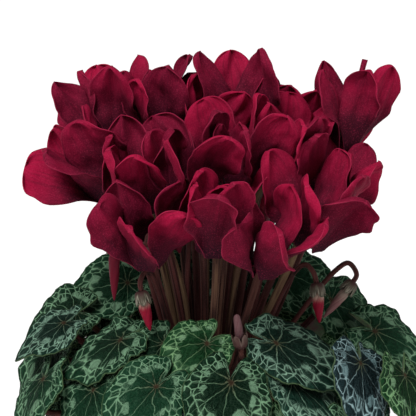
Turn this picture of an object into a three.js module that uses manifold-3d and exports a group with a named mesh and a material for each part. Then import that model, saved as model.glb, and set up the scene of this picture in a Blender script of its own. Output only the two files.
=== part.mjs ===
// A potted cyclamen: a tuber in a plain pot of compost, with hooked flower stalks, swept-back
// crimson flowers, furled buds and tiers of heart-shaped leaves.
// Millimetres, +Z up. The origin is the centre of the pot's underside. -Y is the plant's front.
import * as THREE from "three";
import { mergeVertices } from "three/addons/utils/BufferGeometryUtils.js";
import Module from "manifold-3d";

const wasm = await Module();
wasm.setup();

// ---------------------------------------------------------------- driving dimensions
const DEGREE = Math.PI / 180;
const GAP = 0.35; // between pieces that touch

const POT = {
  height: 115,
  baseRadius: 46,
  rimRadius: 67,
  bandHeight: 18,
  bandStep: 4.5,
  wall: 4,
  floor: 4,
  sides: 22,
  drainHoles: 5,
  drainRadius: 5,
  drainCircle: 28,
};
const COMPOST = { level: 103, lump: 1.6, rings: [0.7], sides: 22 };
const TUBER = { radius: 30, halfHeight: 20, flatTop: 15, lump: 0.035, sides: 14 };
const CROWN = { radius: 24, height: 9, sides: 12 };
const STALK = { flowerRadius: 2.5, hookRadius: 1.9, leafRadius: 2, budRadius: 1.6, sides: 4 };
const FLOWER = {
  petals: 5,
  petalLength: 51,
  petalHalfWidth: 14.8,
  baseHalfWidth: 3.9,
  petalThickness: 0.9,
  tubeRadius: 5.4,
  tubeTop: 4,
  mouth: -3.4,
  foldShare: 0.2,
  stalkGap: 96, // degrees left free between two petals for the stalk
  hookOffset: 9,
};
const LEAF = {
  thickness: 0.9,
  seat: 0.7, // from the blade's underside to the end of its stalk
  edgePoints: 18,
  innerPoints: 6,
  toothDepth: 0.025,
  droop: 0.2,
  fold: 0.12,
  wave: 0.05,
};
const BUD = { length: 26, radius: 4.4, sides: 6 };
const CLEARANCE = 0.8; // added to a blade's or petal's thickness while a free pose is looked for
const OWN_OVERLAP = 25; // mm3 that a flower's petals may share at their narrow ends
const FLOWER_ATTEMPTS = 60;
const PETAL_ATTEMPTS = 60;
const LEAF_ATTEMPTS = 240;

const COLOURS = {
  pot: 0x8a4f38,
  compost: 0x2b211a,
  tuber: 0x5d4632,
  stalks: 0x4a2026,
  petals: 0x7c0f2c,
  leaf: 0x1f4a33,
  bud: 0x8f1a38,
};

// Where each flower's mouth is, and how its petals point. x, y, z in mm; lean in degrees from
// upright towards the direction "to" (0 is +X, 90 is +Y).
const FLOWERS = [
  { x: -34, y: -64, z: 238, lean: 30, to: -100 },
  { x: 34, y: -72, z: 235, lean: 34, to: -80 },
  { x: -4, y: -80, z: 244, lean: 30, to: -94 },
  { x: 62, y: -52, z: 246, lean: 26, to: -56 },
  { x: -57, y: -24, z: 270, lean: 42, to: 184 },
  { x: 67, y: -24, z: 256, lean: 22, to: -14 },
  { x: -38, y: -38, z: 264, lean: 22, to: -132 },
  { x: -17, y: -42, z: 272, lean: 16, to: -112 },
  { x: 18, y: -38, z: 276, lean: 12, to: -76 },
  { x: 48, y: -22, z: 272, lean: 12, to: -30 },
  { x: -56, y: 6, z: 296, lean: 16, to: 160 },
  { x: 54, y: 6, z: 290, lean: 6, to: 20 },
  { x: 76, y: 0, z: 290, lean: 6, to: 10 },
  { x: 26, y: 4, z: 302, lean: 4, to: 60 },
  { x: -38, y: 4, z: 294, lean: 8, to: 170 },
  { x: -6, y: 4, z: 292, lean: 6, to: 110 },
  { x: -50, y: 42, z: 276, lean: 24, to: 140 },
  { x: -14, y: 36, z: 284, lean: 16, to: 106 },
  { x: 24, y: 40, z: 280, lean: 18, to: 66 },
  { x: 60, y: 42, z: 272, lean: 24, to: 40 },
  { x: -26, y: 72, z: 252, lean: 36, to: 112 },
  { x: 18, y: 76, z: 254, lean: 34, to: 78 },
];

// Each leaf's stalk meets its blade at (at, out, z): degrees round the plant, mm from its axis and
// height. slope is how steeply the blade falls outwards, or towards the side "face", and turn
// swings its tip off that line.
// A leaf with "on" grows across the leaf of that place in the list, and is fused to it.
const LEAVES = [
  { at: -57, out: 74, z: 183, slope: 32, turn: 52, size: 44 },
  { at: -90, out: 70, z: 186, slope: 44, turn: -46, size: 33 },
  { at: -136, out: 72, z: 182, slope: 34, turn: -42, size: 38 },
  { at: -109, out: 92, z: 166, slope: 46, turn: -38, size: 41 },
  { at: -51, out: 96, z: 171, slope: 52, turn: 4, size: 43 },
  { at: -82, out: 98, z: 169, slope: 52, turn: -14, size: 41 },
  { at: -155, out: 102, z: 152, slope: 56, turn: 6, size: 38 },
  { at: -35, out: 108, z: 174, slope: 56, turn: -20, size: 41 },
  { at: -12, out: 106, z: 180, face: -56, slope: 40, turn: 52, size: 40 },
  { at: -25, out: 124, z: 158, slope: 56, turn: -10, size: 39 },
  { at: -10, out: 78, z: 192, face: -50, slope: 42, turn: 36, size: 36 },
  { at: -169, out: 100, z: 170, face: -144, slope: 48, turn: -24, size: 41 },
  { at: -158, out: 82, z: 180, face: -130, slope: 42, turn: -44, size: 35 },
  { at: -141, out: 99, z: 161, slope: 54, turn: -8, size: 40 },
  { at: -166, out: 114, z: 143, slope: 54, turn: 6, size: 38 },
  { at: -116, out: 104, z: 146, slope: 62, turn: -6, size: 38 },
  { at: -112, out: 66, z: 180, slope: 60, turn: -18, size: 31 },
  { at: -97, out: 98, z: 152, slope: 64, turn: 6, size: 37 },
  { at: 154, out: 56, z: 200, face: -100, slope: 52, turn: -76, size: 36 },
  { at: 176, out: 75, z: 184, face: -108, slope: 44, turn: -72, size: 36 },
  { at: 34, out: 56, z: 204, face: -82, slope: 50, turn: 70, size: 38 },
  { at: 84, out: 40, z: 206, face: -92, slope: 56, turn: -90, size: 34 },
  { at: 10, out: 94, z: 182, slope: 34, turn: 10, size: 42 },
  { at: 52, out: 92, z: 178, slope: 42, turn: 10, size: 44 },
  { at: 80, out: 76, z: 190, slope: 34, turn: -6, size: 43 },
  { at: 106, out: 92, z: 174, slope: 44, turn: 12, size: 44 },
  { at: 136, out: 84, z: 182, slope: 36, turn: -8, size: 43 },
  { at: 158, out: 98, z: 164, slope: 46, turn: 8, size: 42 },
  { at: 30, out: 110, z: 152, slope: 56, turn: -6, size: 42 },
  { at: 74, out: 108, z: 150, slope: 58, turn: -8, size: 42, on: 23 },
  { at: 120, out: 108, z: 146, slope: 58, turn: 6, size: 42, on: 25 },
  { at: 176, out: 110, z: 142, slope: 58, turn: -4, size: 40, on: 27 },
  { at: -66, out: 112, z: 144, slope: 64, turn: 4, size: 38, on: 5 },
  { at: -44, out: 118, z: 140, slope: 64, turn: 6, size: 40, on: 4 },
  { at: 2, out: 118, z: 146, slope: 58, turn: -4, size: 40, on: 22 },
  { at: -136, out: 112, z: 132, slope: 66, turn: 4, size: 38, on: 13 },
];

// A bud's calyx is at (x, y, z). It hangs down from a hooked stalk, or with hang -1 it stands up.
const BUDS = [
  { x: -55, y: -52, z: 240, swing: -95, tilt: 4, length: 32, hang: 1 },
  { x: -38, y: -60, z: 211, swing: -20, tilt: 14, length: 20, hang: 1 },
  { x: 67, y: -44, z: 212, swing: -60, tilt: 8, length: 20, hang: 1 },
  { x: 87, y: -30, z: 210, swing: 196, tilt: 42, length: 24, hang: 1 },
  { x: 20, y: -76, z: 189, swing: 170, tilt: 8, length: 16, hang: -1 },
];

// ---------------------------------------------------------------- seeded draws
class Draws {
  constructor(seed) {
    this.state = (seed * 7919 + 104729) % 2147483647;
    for (let i = 0; i < 3; i++) this.next();
  }

  next() {
    this.state = (this.state * 16807) % 2147483647;
    return this.state / 2147483647;
  }

  // A number from -reach to reach.
  spread(reach) {
    return (2 * this.next() - 1) * reach;
  }
}

// ---------------------------------------------------------------- solids
// A manifold solid of a closed geometry whose triangles may still have their own vertices.
function solidOf(geometry) {
  const bare = new THREE.BufferGeometry();
  bare.setAttribute("position", geometry.getAttribute("position"));
  bare.setIndex(geometry.getIndex());
  const merged = mergeVertices(bare, 1e-4);
  const index = merged.getIndex().array;
  const kept = [];
  for (let i = 0; i < index.length; i += 3) {
    const [a, b, c] = [index[i], index[i + 1], index[i + 2]];
    if (a !== b && b !== c && a !== c) kept.push(a, b, c);
  }
  const solid = new wasm.Manifold(
    new wasm.Mesh({
      numProp: 3,
      vertProperties: merged.getAttribute("position").array,
      triVerts: new Uint32Array(kept),
    }),
  );
  if (solid.volume() > 0) return solid;
  for (let i = 0; i < kept.length; i += 3) [kept[i], kept[i + 1]] = [kept[i + 1], kept[i]];
  return new wasm.Manifold(
    new wasm.Mesh({
      numProp: 3,
      vertProperties: merged.getAttribute("position").array,
      triVerts: new Uint32Array(kept),
    }),
  );
}

function geometryOf(solid) {
  const mesh = solid.getMesh();
  const geometry = new THREE.BufferGeometry();
  geometry.setAttribute("position", new THREE.BufferAttribute(mesh.vertProperties, 3));
  geometry.setIndex(new THREE.BufferAttribute(mesh.triVerts, 1));
  geometry.computeVertexNormals();
  return geometry;
}

// One solid of many, with any pocket that they close off between them filled.
function union(solids) {
  const shells = solids.reduce((whole, next) => whole.add(next)).decompose();
  return shells.filter((shell) => shell.volume() > 0).reduce((whole, next) => whole.add(next));
}

function boxesMeet(a, b) {
  const [p, q] = [a.boundingBox(), b.boundingBox()];
  return [0, 1, 2].every((k) => p.min[k] <= q.max[k] && q.min[k] <= p.max[k]);
}

function shared(a, b) {
  if (!boxesMeet(a, b)) return 0;
  const both = a.intersect(b);
  const volume = both.volume();
  both.delete();
  return volume;
}

function crosses(solid, others) {
  return others.some((other) => other && shared(solid, other) > 1e-6);
}

// A thin closed sheet: place(u, v) gives its middle surface for u in -1..1 and v in 0..1.
function sheet(across, along, thickness, place) {
  const grid = new THREE.PlaneGeometry(2, 1, across, along);
  const flat = grid.getAttribute("position");
  for (let i = 0; i < flat.count; i++) {
    const p = place(flat.getX(i), flat.getY(i) + 0.5);
    flat.setXYZ(i, p.x, p.y, p.z);
  }
  const middle = mergeVertices(stripped(grid), 1e-4);
  const position = middle.getAttribute("position");
  const index = middle.getIndex().array;
  const points = [];
  for (let i = 0; i < position.count; i++) {
    points.push(new THREE.Vector3().fromBufferAttribute(position, i));
  }
  const faces = [];
  for (let i = 0; i < index.length; i += 3) {
    const face = [index[i], index[i + 1], index[i + 2]];
    if (new Set(face).size === 3) faces.push(face);
  }
  return thickened(points, faces, thickness);
}

// Two faces, alike, on either side of a middle surface, and the rim that closes them.
function thickened(points, faces, thickness) {
  const middle = new THREE.BufferGeometry().setFromPoints(points);
  middle.setIndex(faces.flat());
  middle.computeVertexNormals();
  const normal = middle.getAttribute("normal");
  const count = points.length;
  const both = [thickness / 2, -thickness / 2].flatMap((half) =>
    points.map((p, i) =>
      p.clone().addScaledVector(new THREE.Vector3().fromBufferAttribute(normal, i), half),
    ),
  );
  const triangles = [];
  const open = new Map();
  for (const [a, b, c] of faces) {
    triangles.push(a, b, c, a + count, c + count, b + count);
    for (const [from, to] of [
      [a, b],
      [b, c],
      [c, a],
    ]) {
      if (!open.delete(`${to},${from}`)) open.set(`${from},${to}`, [from, to]);
    }
  }
  for (const [from, to] of open.values()) {
    triangles.push(to, from, from + count, to, from + count, to + count);
  }
  const closed = new THREE.BufferGeometry().setFromPoints(both);
  closed.setIndex(triangles);
  return solidOf(closed);
}

function stripped(geometry) {
  const bare = geometry.clone();
  bare.deleteAttribute("normal");
  bare.deleteAttribute("uv");
  return bare;
}

// A solid of revolution about +Z from [radius, height] points that start and end on the axis.
function turned(profile, sides, reshape = (p) => p) {
  const points = profile.map(([r, z]) => new THREE.Vector2(r, z));
  const lathe = new THREE.LatheGeometry(points, sides).rotateX(Math.PI / 2);
  const position = lathe.getAttribute("position");
  for (let i = 0; i < position.count; i++) {
    const p = reshape(new THREE.Vector3().fromBufferAttribute(position, i));
    position.setXYZ(i, p.x, p.y, p.z);
  }
  return solidOf(lathe);
}

// A stalk along a curve, from one radius to another. Its rings follow the curve's own parameter.
function stalk(curve, radius, endRadius, steps) {
  const rod = new THREE.CylinderGeometry(1, 1, 1, STALK.sides, steps);
  const turns = [new THREE.Quaternion()];
  let heading = new THREE.Vector3(0, 1, 0);
  for (let i = 0; i <= steps; i++) {
    const next = curve.getTangent(i / steps);
    const step = new THREE.Quaternion().setFromUnitVectors(heading, next);
    turns.push(step.multiply(turns[i]));
    heading = next;
  }
  const position = rod.getAttribute("position");
  for (let i = 0; i < position.count; i++) {
    const share = position.getY(i) + 0.5;
    const r = radius + (endRadius - radius) * share;
    const p = new THREE.Vector3(position.getX(i) * r, 0, position.getZ(i) * r)
      .applyQuaternion(turns[1 + Math.round(share * steps)])
      .add(curve.getPoint(share));
    position.setXYZ(i, p.x, p.y, p.z);
  }
  return solidOf(rod);
}

function polar(degrees, radius, z = 0) {
  return new THREE.Vector3(
    radius * Math.cos(degrees * DEGREE),
    radius * Math.sin(degrees * DEGREE),
    z,
  );
}

// ---------------------------------------------------------------- pot, compost, tuber, crown
function innerRadius(z) {
  const low = POT.baseRadius - POT.wall;
  const high = POT.rimRadius - POT.bandStep - POT.wall / 2;
  return low + ((high - low) * (z - POT.floor)) / (POT.height - POT.floor);
}

function makePot() {
  const bandZ = POT.height - POT.bandHeight;
  const wall = turned(
    [
      [0, 0],
      [POT.baseRadius, 0],
      [POT.rimRadius - 2 * POT.bandStep + 2, bandZ],
      [POT.rimRadius - 2, bandZ],
      [POT.rimRadius, POT.height - 2],
      [POT.rimRadius - 1, POT.height],
      [innerRadius(POT.height), POT.height],
      [innerRadius(POT.floor), POT.floor],
      [0, POT.floor],
    ],
    POT.sides,
  );
  const holes = [];
  for (let i = 0; i < POT.drainHoles; i++) {
    const at = polar((360 * i) / POT.drainHoles + 90, POT.drainCircle, POT.floor / 2);
    const plug = new THREE.CylinderGeometry(POT.drainRadius, POT.drainRadius, 3 * POT.floor, 8);
    holes.push(solidOf(plug.rotateX(Math.PI / 2).translate(at.x, at.y, at.z)));
  }
  return holes.reduce((pot, hole) => pot.subtract(hole), wall);
}

function tuberSolid(scale) {
  const profile = [[0, -TUBER.halfHeight]];
  const top = Math.asin(TUBER.flatTop / TUBER.halfHeight) / DEGREE;
  for (let a = -62; a < top; a += 28) {
    profile.push([TUBER.radius * Math.cos(a * DEGREE), TUBER.halfHeight * Math.sin(a * DEGREE)]);
  }
  profile.push([TUBER.radius * Math.cos(top * DEGREE), TUBER.flatTop], [0, TUBER.flatTop]);
  return turned(profile, TUBER.sides, (p) => {
    const round = Math.atan2(p.y, p.x);
    const lump = 1 + TUBER.lump * Math.sin(3 * round + 1) + TUBER.lump * Math.sin(5 * round);
    p.set(p.x * lump * scale, p.y * lump * scale, p.z * scale + COMPOST.level);
    return p;
  });
}

function makeCompost() {
  const top = COMPOST.level;
  const edge = innerRadius(top) - GAP;
  const profile = [[0, POT.floor + GAP], [innerRadius(POT.floor) - GAP, POT.floor + GAP], [edge, top]];
  COMPOST.rings.forEach((share) => profile.push([edge * share, top]));
  profile.push([0, top]);
  const fill = turned(profile, COMPOST.sides, (p) => {
    const round = Math.atan2(p.y, p.x);
    const inside = p.z > top - 1 && Math.hypot(p.x, p.y) < edge * 0.9;
    if (inside) p.z += COMPOST.lump * Math.sin(4 * round + p.x / 9) * Math.cos(3 * round);
    return p;
  });
  return fill.subtract(tuberSolid(1 + (1.4 * GAP) / TUBER.halfHeight));
}

function makeCrown() {
  const base = COMPOST.level + TUBER.flatTop + GAP;
  return turned(
    [
      [0, base],
      [CROWN.radius, base],
      [CROWN.radius + 1, base + CROWN.height * 0.4],
      [CROWN.radius * 0.72, base + CROWN.height * 0.85],
      [0, base + CROWN.height],
    ],
    CROWN.sides,
  );
}

// ---------------------------------------------------------------- flowers
// A flower's own frame: w points the way the petals do, and the stalk's gap faces -u.
function flowerFrame(site) {
  const tilt = site.lean * DEGREE;
  const w = polar(site.to, Math.sin(tilt), Math.cos(tilt));
  const u = polar(site.to, Math.cos(tilt), -Math.sin(tilt));
  const v = new THREE.Vector3().crossVectors(w, u);
  return { at: new THREE.Vector3(site.x, site.y, site.z), u, v, w };
}

function inFlower(frame, radius, degrees, height) {
  const a = degrees * DEGREE;
  return frame.at
    .clone()
    .addScaledVector(frame.u, radius * Math.cos(a))
    .addScaledVector(frame.v, radius * Math.sin(a))
    .addScaledVector(frame.w, height);
}

// How petal number k of a flower grows. Try 0 stands well open. Later tries bend it elsewhere.
function petalTraits(flower, k, attempt) {
  const draws = new Draws(flower * 131 + k * 29 + attempt * 11 + 5);
  const stray = Math.min(1, attempt / 30);
  return {
    azimuth: petalAzimuth(k) + draws.spread(3 + 9 * stray),
    lean: 11 + draws.spread(4 + 15 * stray),
    curl: 14 + draws.spread(8 + 16 * stray),
    twist: 44 + draws.spread(5 + 14 * stray),
    length: FLOWER.petalLength * (1 - 0.1 * stray + draws.spread(0.06)),
    halfWidth: FLOWER.petalHalfWidth * (1 - 0.12 * stray + draws.spread(0.07)),
    cup: 0.1 + draws.spread(0.06),
    wave: draws.spread(1),
  };
}

// Half the petal's width at v, of which t is the share of its length above the fold.
function petalHalfWidth(traits, v, t) {
  const widest = 0.6;
  const claw = FLOWER.baseHalfWidth * Math.min(1, v / FLOWER.foldShare);
  const rise = Math.sin((Math.PI / 2) * Math.min(1, t / widest)) ** 2;
  const fall = Math.max(0, t - widest) / (1 - widest);
  return (claw + (traits.halfWidth - claw) * rise) * (1 - fall ** 2.4) ** 0.6;
}

// A point of a petal: u in -1..1 across, v in 0..1 from the mouth, round the fold, to the tip.
function petalPoint(frame, traits, u, v) {
  const fold = FLOWER.foldShare;
  const t = Math.max(0, (v - fold) / (1 - fold));
  const turn = Math.PI * Math.min(1, v / fold);
  const start = traits.lean * DEGREE;
  const slope = start + traits.curl * DEGREE * t;
  const mean = (start + slope) / 2;
  const radius = 7.2 - 2.4 * Math.cos(turn) + traits.length * t * Math.sin(mean);
  const sunk = FLOWER.mouth - 2.2 * Math.sin(turn) + (1.4 * turn) / Math.PI;
  const height = sunk + traits.length * t * Math.cos(mean);
  const twist = traits.twist * DEGREE * Math.min(1, 2.2 * t);
  const side = u * petalHalfWidth(traits, v, t);
  const bend = traits.cup * u * side + traits.wave * u * Math.sin(7 * t);
  const across = side * Math.cos(twist) - bend * Math.sin(twist);
  const out = side * Math.sin(twist) + bend * Math.cos(twist);
  const tangent = inFlower(frame, 1, traits.azimuth + 90, 0).sub(frame.at);
  return inFlower(
    frame,
    radius + out * Math.cos(slope),
    traits.azimuth,
    height - out * Math.sin(slope),
  ).addScaledVector(tangent, across);
}

function petalAzimuth(k) {
  const step = (360 - FLOWER.stalkGap) / (FLOWER.petals - 1);
  return 180 + FLOWER.stalkGap / 2 + step * k;
}

// Where the faceted petal has its rows: closer at the fold and at the round tip.
const PETAL_ROWS = [0, FLOWER.foldShare, 0.5, 0.83, 1];

function makePetal(frame, traits, extra) {
  const rows = PETAL_ROWS.length - 1;
  return sheet(2, rows, FLOWER.petalThickness + extra, (u, v) =>
    petalPoint(frame, traits, u, PETAL_ROWS[Math.round(rows * v)]),
  );
}

// The corolla tube: a short cup, open at the mouth, that the petals grow from.
function makeTube(site) {
  const frame = flowerFrame(site);
  const r = FLOWER.tubeRadius;
  const cup = turned(
    [
      [0, FLOWER.tubeTop],
      [r, FLOWER.tubeTop - 1],
      [r, FLOWER.mouth - 0.6],
      [r - 2, FLOWER.mouth - 0.6],
      [0, 1.4],
    ],
    6,
    (p) => inFlower(frame, Math.hypot(p.x, p.y), Math.atan2(p.y, p.x) / DEGREE, p.z),
  );
  return cup;
}

function makeFlower(pose, petals) {
  const frame = flowerFrame(pose);
  return union([makeTube(pose), ...petals.map((traits) => makePetal(frame, traits, 0))]);
}

// The stalk from the crown to the flower, the hook over the tube and the calyx at its end.
function flowerStalk(site, root) {
  const frame = flowerFrame(site);
  const below = inFlower(frame, FLOWER.hookOffset, 180, -22);
  const reach = below.z - root.z;
  const lower = root.clone().setZ(root.z + 0.4 * reach);
  const rise = new THREE.CubicBezierCurve3(
    root,
    lower.lerp(new THREE.Vector3(below.x, below.y, lower.z), 0.25),
    below.clone().addScaledVector(frame.w, -0.35 * reach),
    below,
  );
  const hook = [
    [FLOWER.hookOffset, -4],
    [FLOWER.hookOffset - 0.2, 5],
    [FLOWER.hookOffset - 3.4, 10],
    [FLOWER.hookOffset - 7, 9.4],
    [0, FLOWER.tubeTop + 2],
  ].map(([r, h]) => inFlower(frame, r, 180, h));
  const points = [0, 0.5, 1].map((share) => rise.getPoint(share));
  const curve = new THREE.CatmullRomCurve3([...points, ...hook]);
  return [
    stalk(curve, STALK.flowerRadius, STALK.hookRadius, points.length + hook.length - 1),
    makeCalyx(frame),
  ];
}

// A five-sided cap of sepals over the end of the tube.
function makeCalyx(frame) {
  const top = FLOWER.tubeTop + GAP;
  return turned(
    [
      [0, top],
      [4.6, top],
      [3, top + 3.4],
      [0, top + 4.4],
    ],
    5,
    (p) => inFlower(frame, Math.hypot(p.x, p.y), Math.atan2(p.y, p.x) / DEGREE, p.z),
  );
}

// ---------------------------------------------------------------- leaves
// A blade's own frame: x runs to its tip, z is its upper side, and it falls outwards by its slope.
function leafFrame(site) {
  const at = polar(site.at, site.out, site.z);
  const down = polar(site.face, Math.cos(site.slope * DEGREE), -Math.sin(site.slope * DEGREE));
  const side = polar(site.face + 90, 1);
  const turn = site.turn * DEGREE;
  const x = down.clone().multiplyScalar(Math.cos(turn)).addScaledVector(side, Math.sin(turn));
  const z = new THREE.Vector3().crossVectors(down, side);
  const y = new THREE.Vector3().crossVectors(z, x);
  return { at, x, y, z };
}

// The blade's outline: its reach from the stalk at an angle from the tip, as a share of its size.
function leafReach(angle) {
  const heart = 0.68 + 0.24 * Math.cos(angle) + 0.08 * Math.cos(2 * angle);
  const tip = 0.05 * Math.exp(-((angle / 0.2) ** 2));
  const notch = 0.5 * Math.exp(-(((Math.PI - Math.abs(angle)) / 0.24) ** 2));
  return heart + tip - notch;
}

// A point of the blade: u in -1..1 is the angle from the tip, v in 0..1 the reach from the stalk.
function leafPoint(frame, site, number, u, v, tooth) {
  const angle = u * (Math.PI - 0.1);
  const reach = site.size * leafReach(angle) * v * (1 + tooth);
  const [x, y] = [(reach * Math.cos(angle)) / site.size, (reach * Math.sin(angle)) / site.size];
  const lift =
    LEAF.wave * v ** 2 * Math.sin(4 * angle + number) -
    LEAF.droop * Math.max(0, x) ** 2 -
    LEAF.fold * y ** 2;
  return frame.at
    .clone()
    .addScaledVector(frame.x, x * site.size)
    .addScaledVector(frame.y, y * site.size)
    .addScaledVector(frame.z, lift * site.size);
}

// The blade: a fan from the stalk to an inner row, and from there to the toothed edge.
function makeLeaf(site, number, extra) {
  const frame = leafFrame(site);
  const [inner, outer] = [LEAF.innerPoints, LEAF.edgePoints];
  const points = [leafPoint(frame, site, number, 0, 0, 0)];
  for (let i = 0; i <= inner; i++) {
    points.push(leafPoint(frame, site, number, (2 * i) / inner - 1, 0.56, 0));
  }
  for (let i = 0; i <= outer; i++) {
    const tooth = LEAF.toothDepth * (i % 2 === 0 ? 1 : -1);
    points.push(leafPoint(frame, site, number, (2 * i) / outer - 1, 1, tooth));
  }
  const faces = [];
  const edge = inner + 2;
  for (let i = 0, j = 0; i < inner || j < outer; ) {
    const widen = j < outer && (i >= inner || (j + 0.5) / outer <= (i + 0.5) / inner);
    if (widen) faces.push([1 + i, edge + j, edge + ++j]);
    else {
      faces.push([0, 1 + i, 2 + i], [1 + i, edge + j, 2 + i]);
      i++;
    }
  }
  return thickened(points, faces, LEAF.thickness + extra);
}

function leafStalk(site, root) {
  const frame = leafFrame(site);
  const end = frame.at.clone().addScaledVector(frame.z, -(LEAF.thickness / 2 + LEAF.seat));
  const reach = Math.hypot(end.x - root.x, end.y - root.y);
  const outward = new THREE.Vector3(end.x - root.x, end.y - root.y, 0).multiplyScalar(0.35);
  const curve = new THREE.CubicBezierCurve3(
    root,
    root.clone().add(outward).add(new THREE.Vector3(0, 0, 0.5 * Math.max(reach * 0.6, end.z - root.z))),
    end.clone().addScaledVector(frame.z, -0.28 * reach),
    end,
  );
  return stalk(curve, STALK.leafRadius, STALK.leafRadius, 3);
}

// ---------------------------------------------------------------- buds
function budFrame(site) {
  const tilt = site.tilt * DEGREE;
  const w = polar(site.swing, Math.sin(tilt), -Math.cos(tilt) * site.hang);
  const u = polar(site.swing, Math.cos(tilt), Math.sin(tilt) * site.hang);
  const v = new THREE.Vector3().crossVectors(w, u);
  return { at: new THREE.Vector3(site.x, site.y, site.z), u, v, w };
}

// The furled petals: a spindle whose ribs wind round it.
function makeBud(site) {
  const frame = budFrame(site);
  const profile = [[0, 0.5]];
  for (const [share, width] of [
    [0.02, 0.6],
    [0.2, 1],
    [0.5, 0.86],
    [0.8, 0.5],
    [0.97, 0.16],
  ]) {
    profile.push([BUD.radius * width, site.length * share + 0.5]);
  }
  profile.push([0, site.length + 0.5]);
  return turned(profile, BUD.sides, (p) => {
    const wind = (p.z / site.length) * 150;
    return inFlower(frame, Math.hypot(p.x, p.y), Math.atan2(p.y, p.x) / DEGREE + wind, p.z);
  });
}

function budStalk(site, root) {
  const frame = budFrame(site);
  const back = frame.at.clone().addScaledVector(frame.w, -GAP);
  const calyx = turned(
    [
      [0, -GAP],
      [BUD.radius * 0.8, -GAP],
      [BUD.radius * 0.62, -4],
      [0, -6],
    ],
    5,
    (p) => inFlower(frame, Math.hypot(p.x, p.y), Math.atan2(p.y, p.x) / DEGREE, p.z),
  );
  const lift = site.hang > 0 ? 14 : -4;
  const aside = new THREE.Vector3(root.x - site.x, root.y - site.y, 0).normalize();
  const over = back.clone().addScaledVector(frame.w, -10).addScaledVector(aside, 2);
  const peak = over.clone().addScaledVector(aside, 5).setZ(back.z + lift);
  const shoulder = peak.clone().addScaledVector(aside, 7).setZ(peak.z - (site.hang > 0 ? 4 : 12));
  const middle = shoulder.clone().lerp(root, 0.5).setZ(root.z + 0.55 * (shoulder.z - root.z));
  const curve = new THREE.CatmullRomCurve3([
    root,
    middle,
    shoulder,
    peak,
    over,
    back.clone().addScaledVector(frame.w, -3),
  ]);
  return [calyx, stalk(curve, STALK.budRadius, STALK.budRadius, 9)];
}

// ---------------------------------------------------------------- finding free poses
// The crown carries the flower stalks in a spiral and the leaf stalks in a ring outside them.
function crownRoot(direction, radius) {
  return polar(direction, radius, COMPOST.level + TUBER.flatTop + CROWN.height * 0.6);
}

function flowerRoot(site) {
  return crownRoot(Math.atan2(site.y, site.x) / DEGREE, 0.2 * Math.hypot(site.x, site.y));
}

// Attempt 0 is the site as given, and later attempts stray further from it.
function flowerAttempt(site, number, attempt) {
  const draws = new Draws(number * 211 + attempt * 17 + 3);
  const stray = Math.min(1, attempt / FLOWER_ATTEMPTS);
  return {
    x: site.x + draws.spread(16 * stray),
    y: site.y + draws.spread(16 * stray),
    z: site.z + draws.spread(10 * stray),
    lean: Math.max(0, site.lean + draws.spread(18 * stray)),
    to: site.to + draws.spread(30 * stray),
  };
}

function leafAttempt(site, number, attempt) {
  const draws = new Draws(number * 307 + attempt * 13 + 9);
  const stray = Math.min(1, attempt / 50);
  return {
    at: site.at + draws.spread(9 * stray),
    out: site.out + draws.spread(10 * stray),
    z: site.z + draws.spread(10 * stray),
    face: (site.face ?? site.at) + draws.spread(12 * stray),
    slope: site.slope + draws.spread(16 * stray),
    turn: site.turn + draws.spread(24 * stray),
    size: site.size * (1 - 0.1 * stray * draws.next()),
  };
}

// The first way for a flower to stand, each of its petals bent clear of what is there already.
function findFlower(site, number, placed) {
  for (let attempt = 0; attempt < FLOWER_ATTEMPTS; attempt++) {
    const pose = flowerAttempt(site, number, attempt);
    const frame = flowerFrame(pose);
    const around = [...placed.petals, ...placed.stalks, ...placed.rest];
    if (crosses(makeTube(pose), around)) continue;
    const stalks = flowerStalk(pose, flowerRoot(site));
    if (stalks.some((s) => crosses(s, placed.petals))) continue;
    const petals = [];
    const solids = [];
    for (let k = 0; k < FLOWER.petals; k++) {
      for (let bend = 0; bend < PETAL_ATTEMPTS; bend++) {
        const traits = petalTraits(number, k, bend);
        const solid = makePetal(frame, traits, CLEARANCE);
        const own = solids.some((other) => shared(other, solid) > OWN_OVERLAP);
        if (own || crosses(solid, [...stalks, ...around])) {
          solid.delete();
          continue;
        }
        petals.push(traits);
        solids.push(solid);
        break;
      }
      if (petals.length <= k) break;
    }
    if (petals.length === FLOWER.petals) return { pose, petals, solids, stalks, attempt };
  }
  return null;
}

// The first way for a leaf to lie clear of all else, but for the leaf that it is fused to.
function findLeaf(site, number, placed) {
  for (let attempt = 0; attempt < LEAF_ATTEMPTS; attempt++) {
    const pose = leafAttempt(site, number, attempt);
    const blade = makeLeaf(pose, number, CLEARANCE);
    const blades = placed.blades.filter((_, i) => i !== site.on);
    if (crosses(blade, [...blades, ...placed.stalks, ...placed.petals, ...placed.rest])) continue;
    const stem = leafStalk(pose, crownRoot(pose.at, CROWN.radius - 4));
    if (crosses(stem, [...placed.blades, ...placed.petals, ...placed.rest])) continue;
    const plain = makeLeaf(pose, number, 0);
    if (crosses(stem, [plain])) continue;
    if (site.on !== undefined && shared(placed.plain[site.on], plain) < 3) continue;
    return { pose, blade, plain, stem, attempt };
  }
  return null;
}

// ---------------------------------------------------------------- the plant
const cyclamen = new THREE.Group();

function addPiece(name, solid, colour, roughness) {
  const material = new THREE.MeshStandardMaterial({ color: colour, roughness, metalness: 0 });
  const mesh = new THREE.Mesh(geometryOf(solid), material);
  mesh.name = name;
  cyclamen.add(mesh);
}

const two = (n) => String(n + 1).padStart(2, "0");
const pot = makePot();
const compost = makeCompost();
const tuber = tuberSolid(1);
const placed = { petals: [], stalks: [], blades: [], plain: [], rest: [pot, compost, tuber] };
const growth = [makeCrown()];

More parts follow.
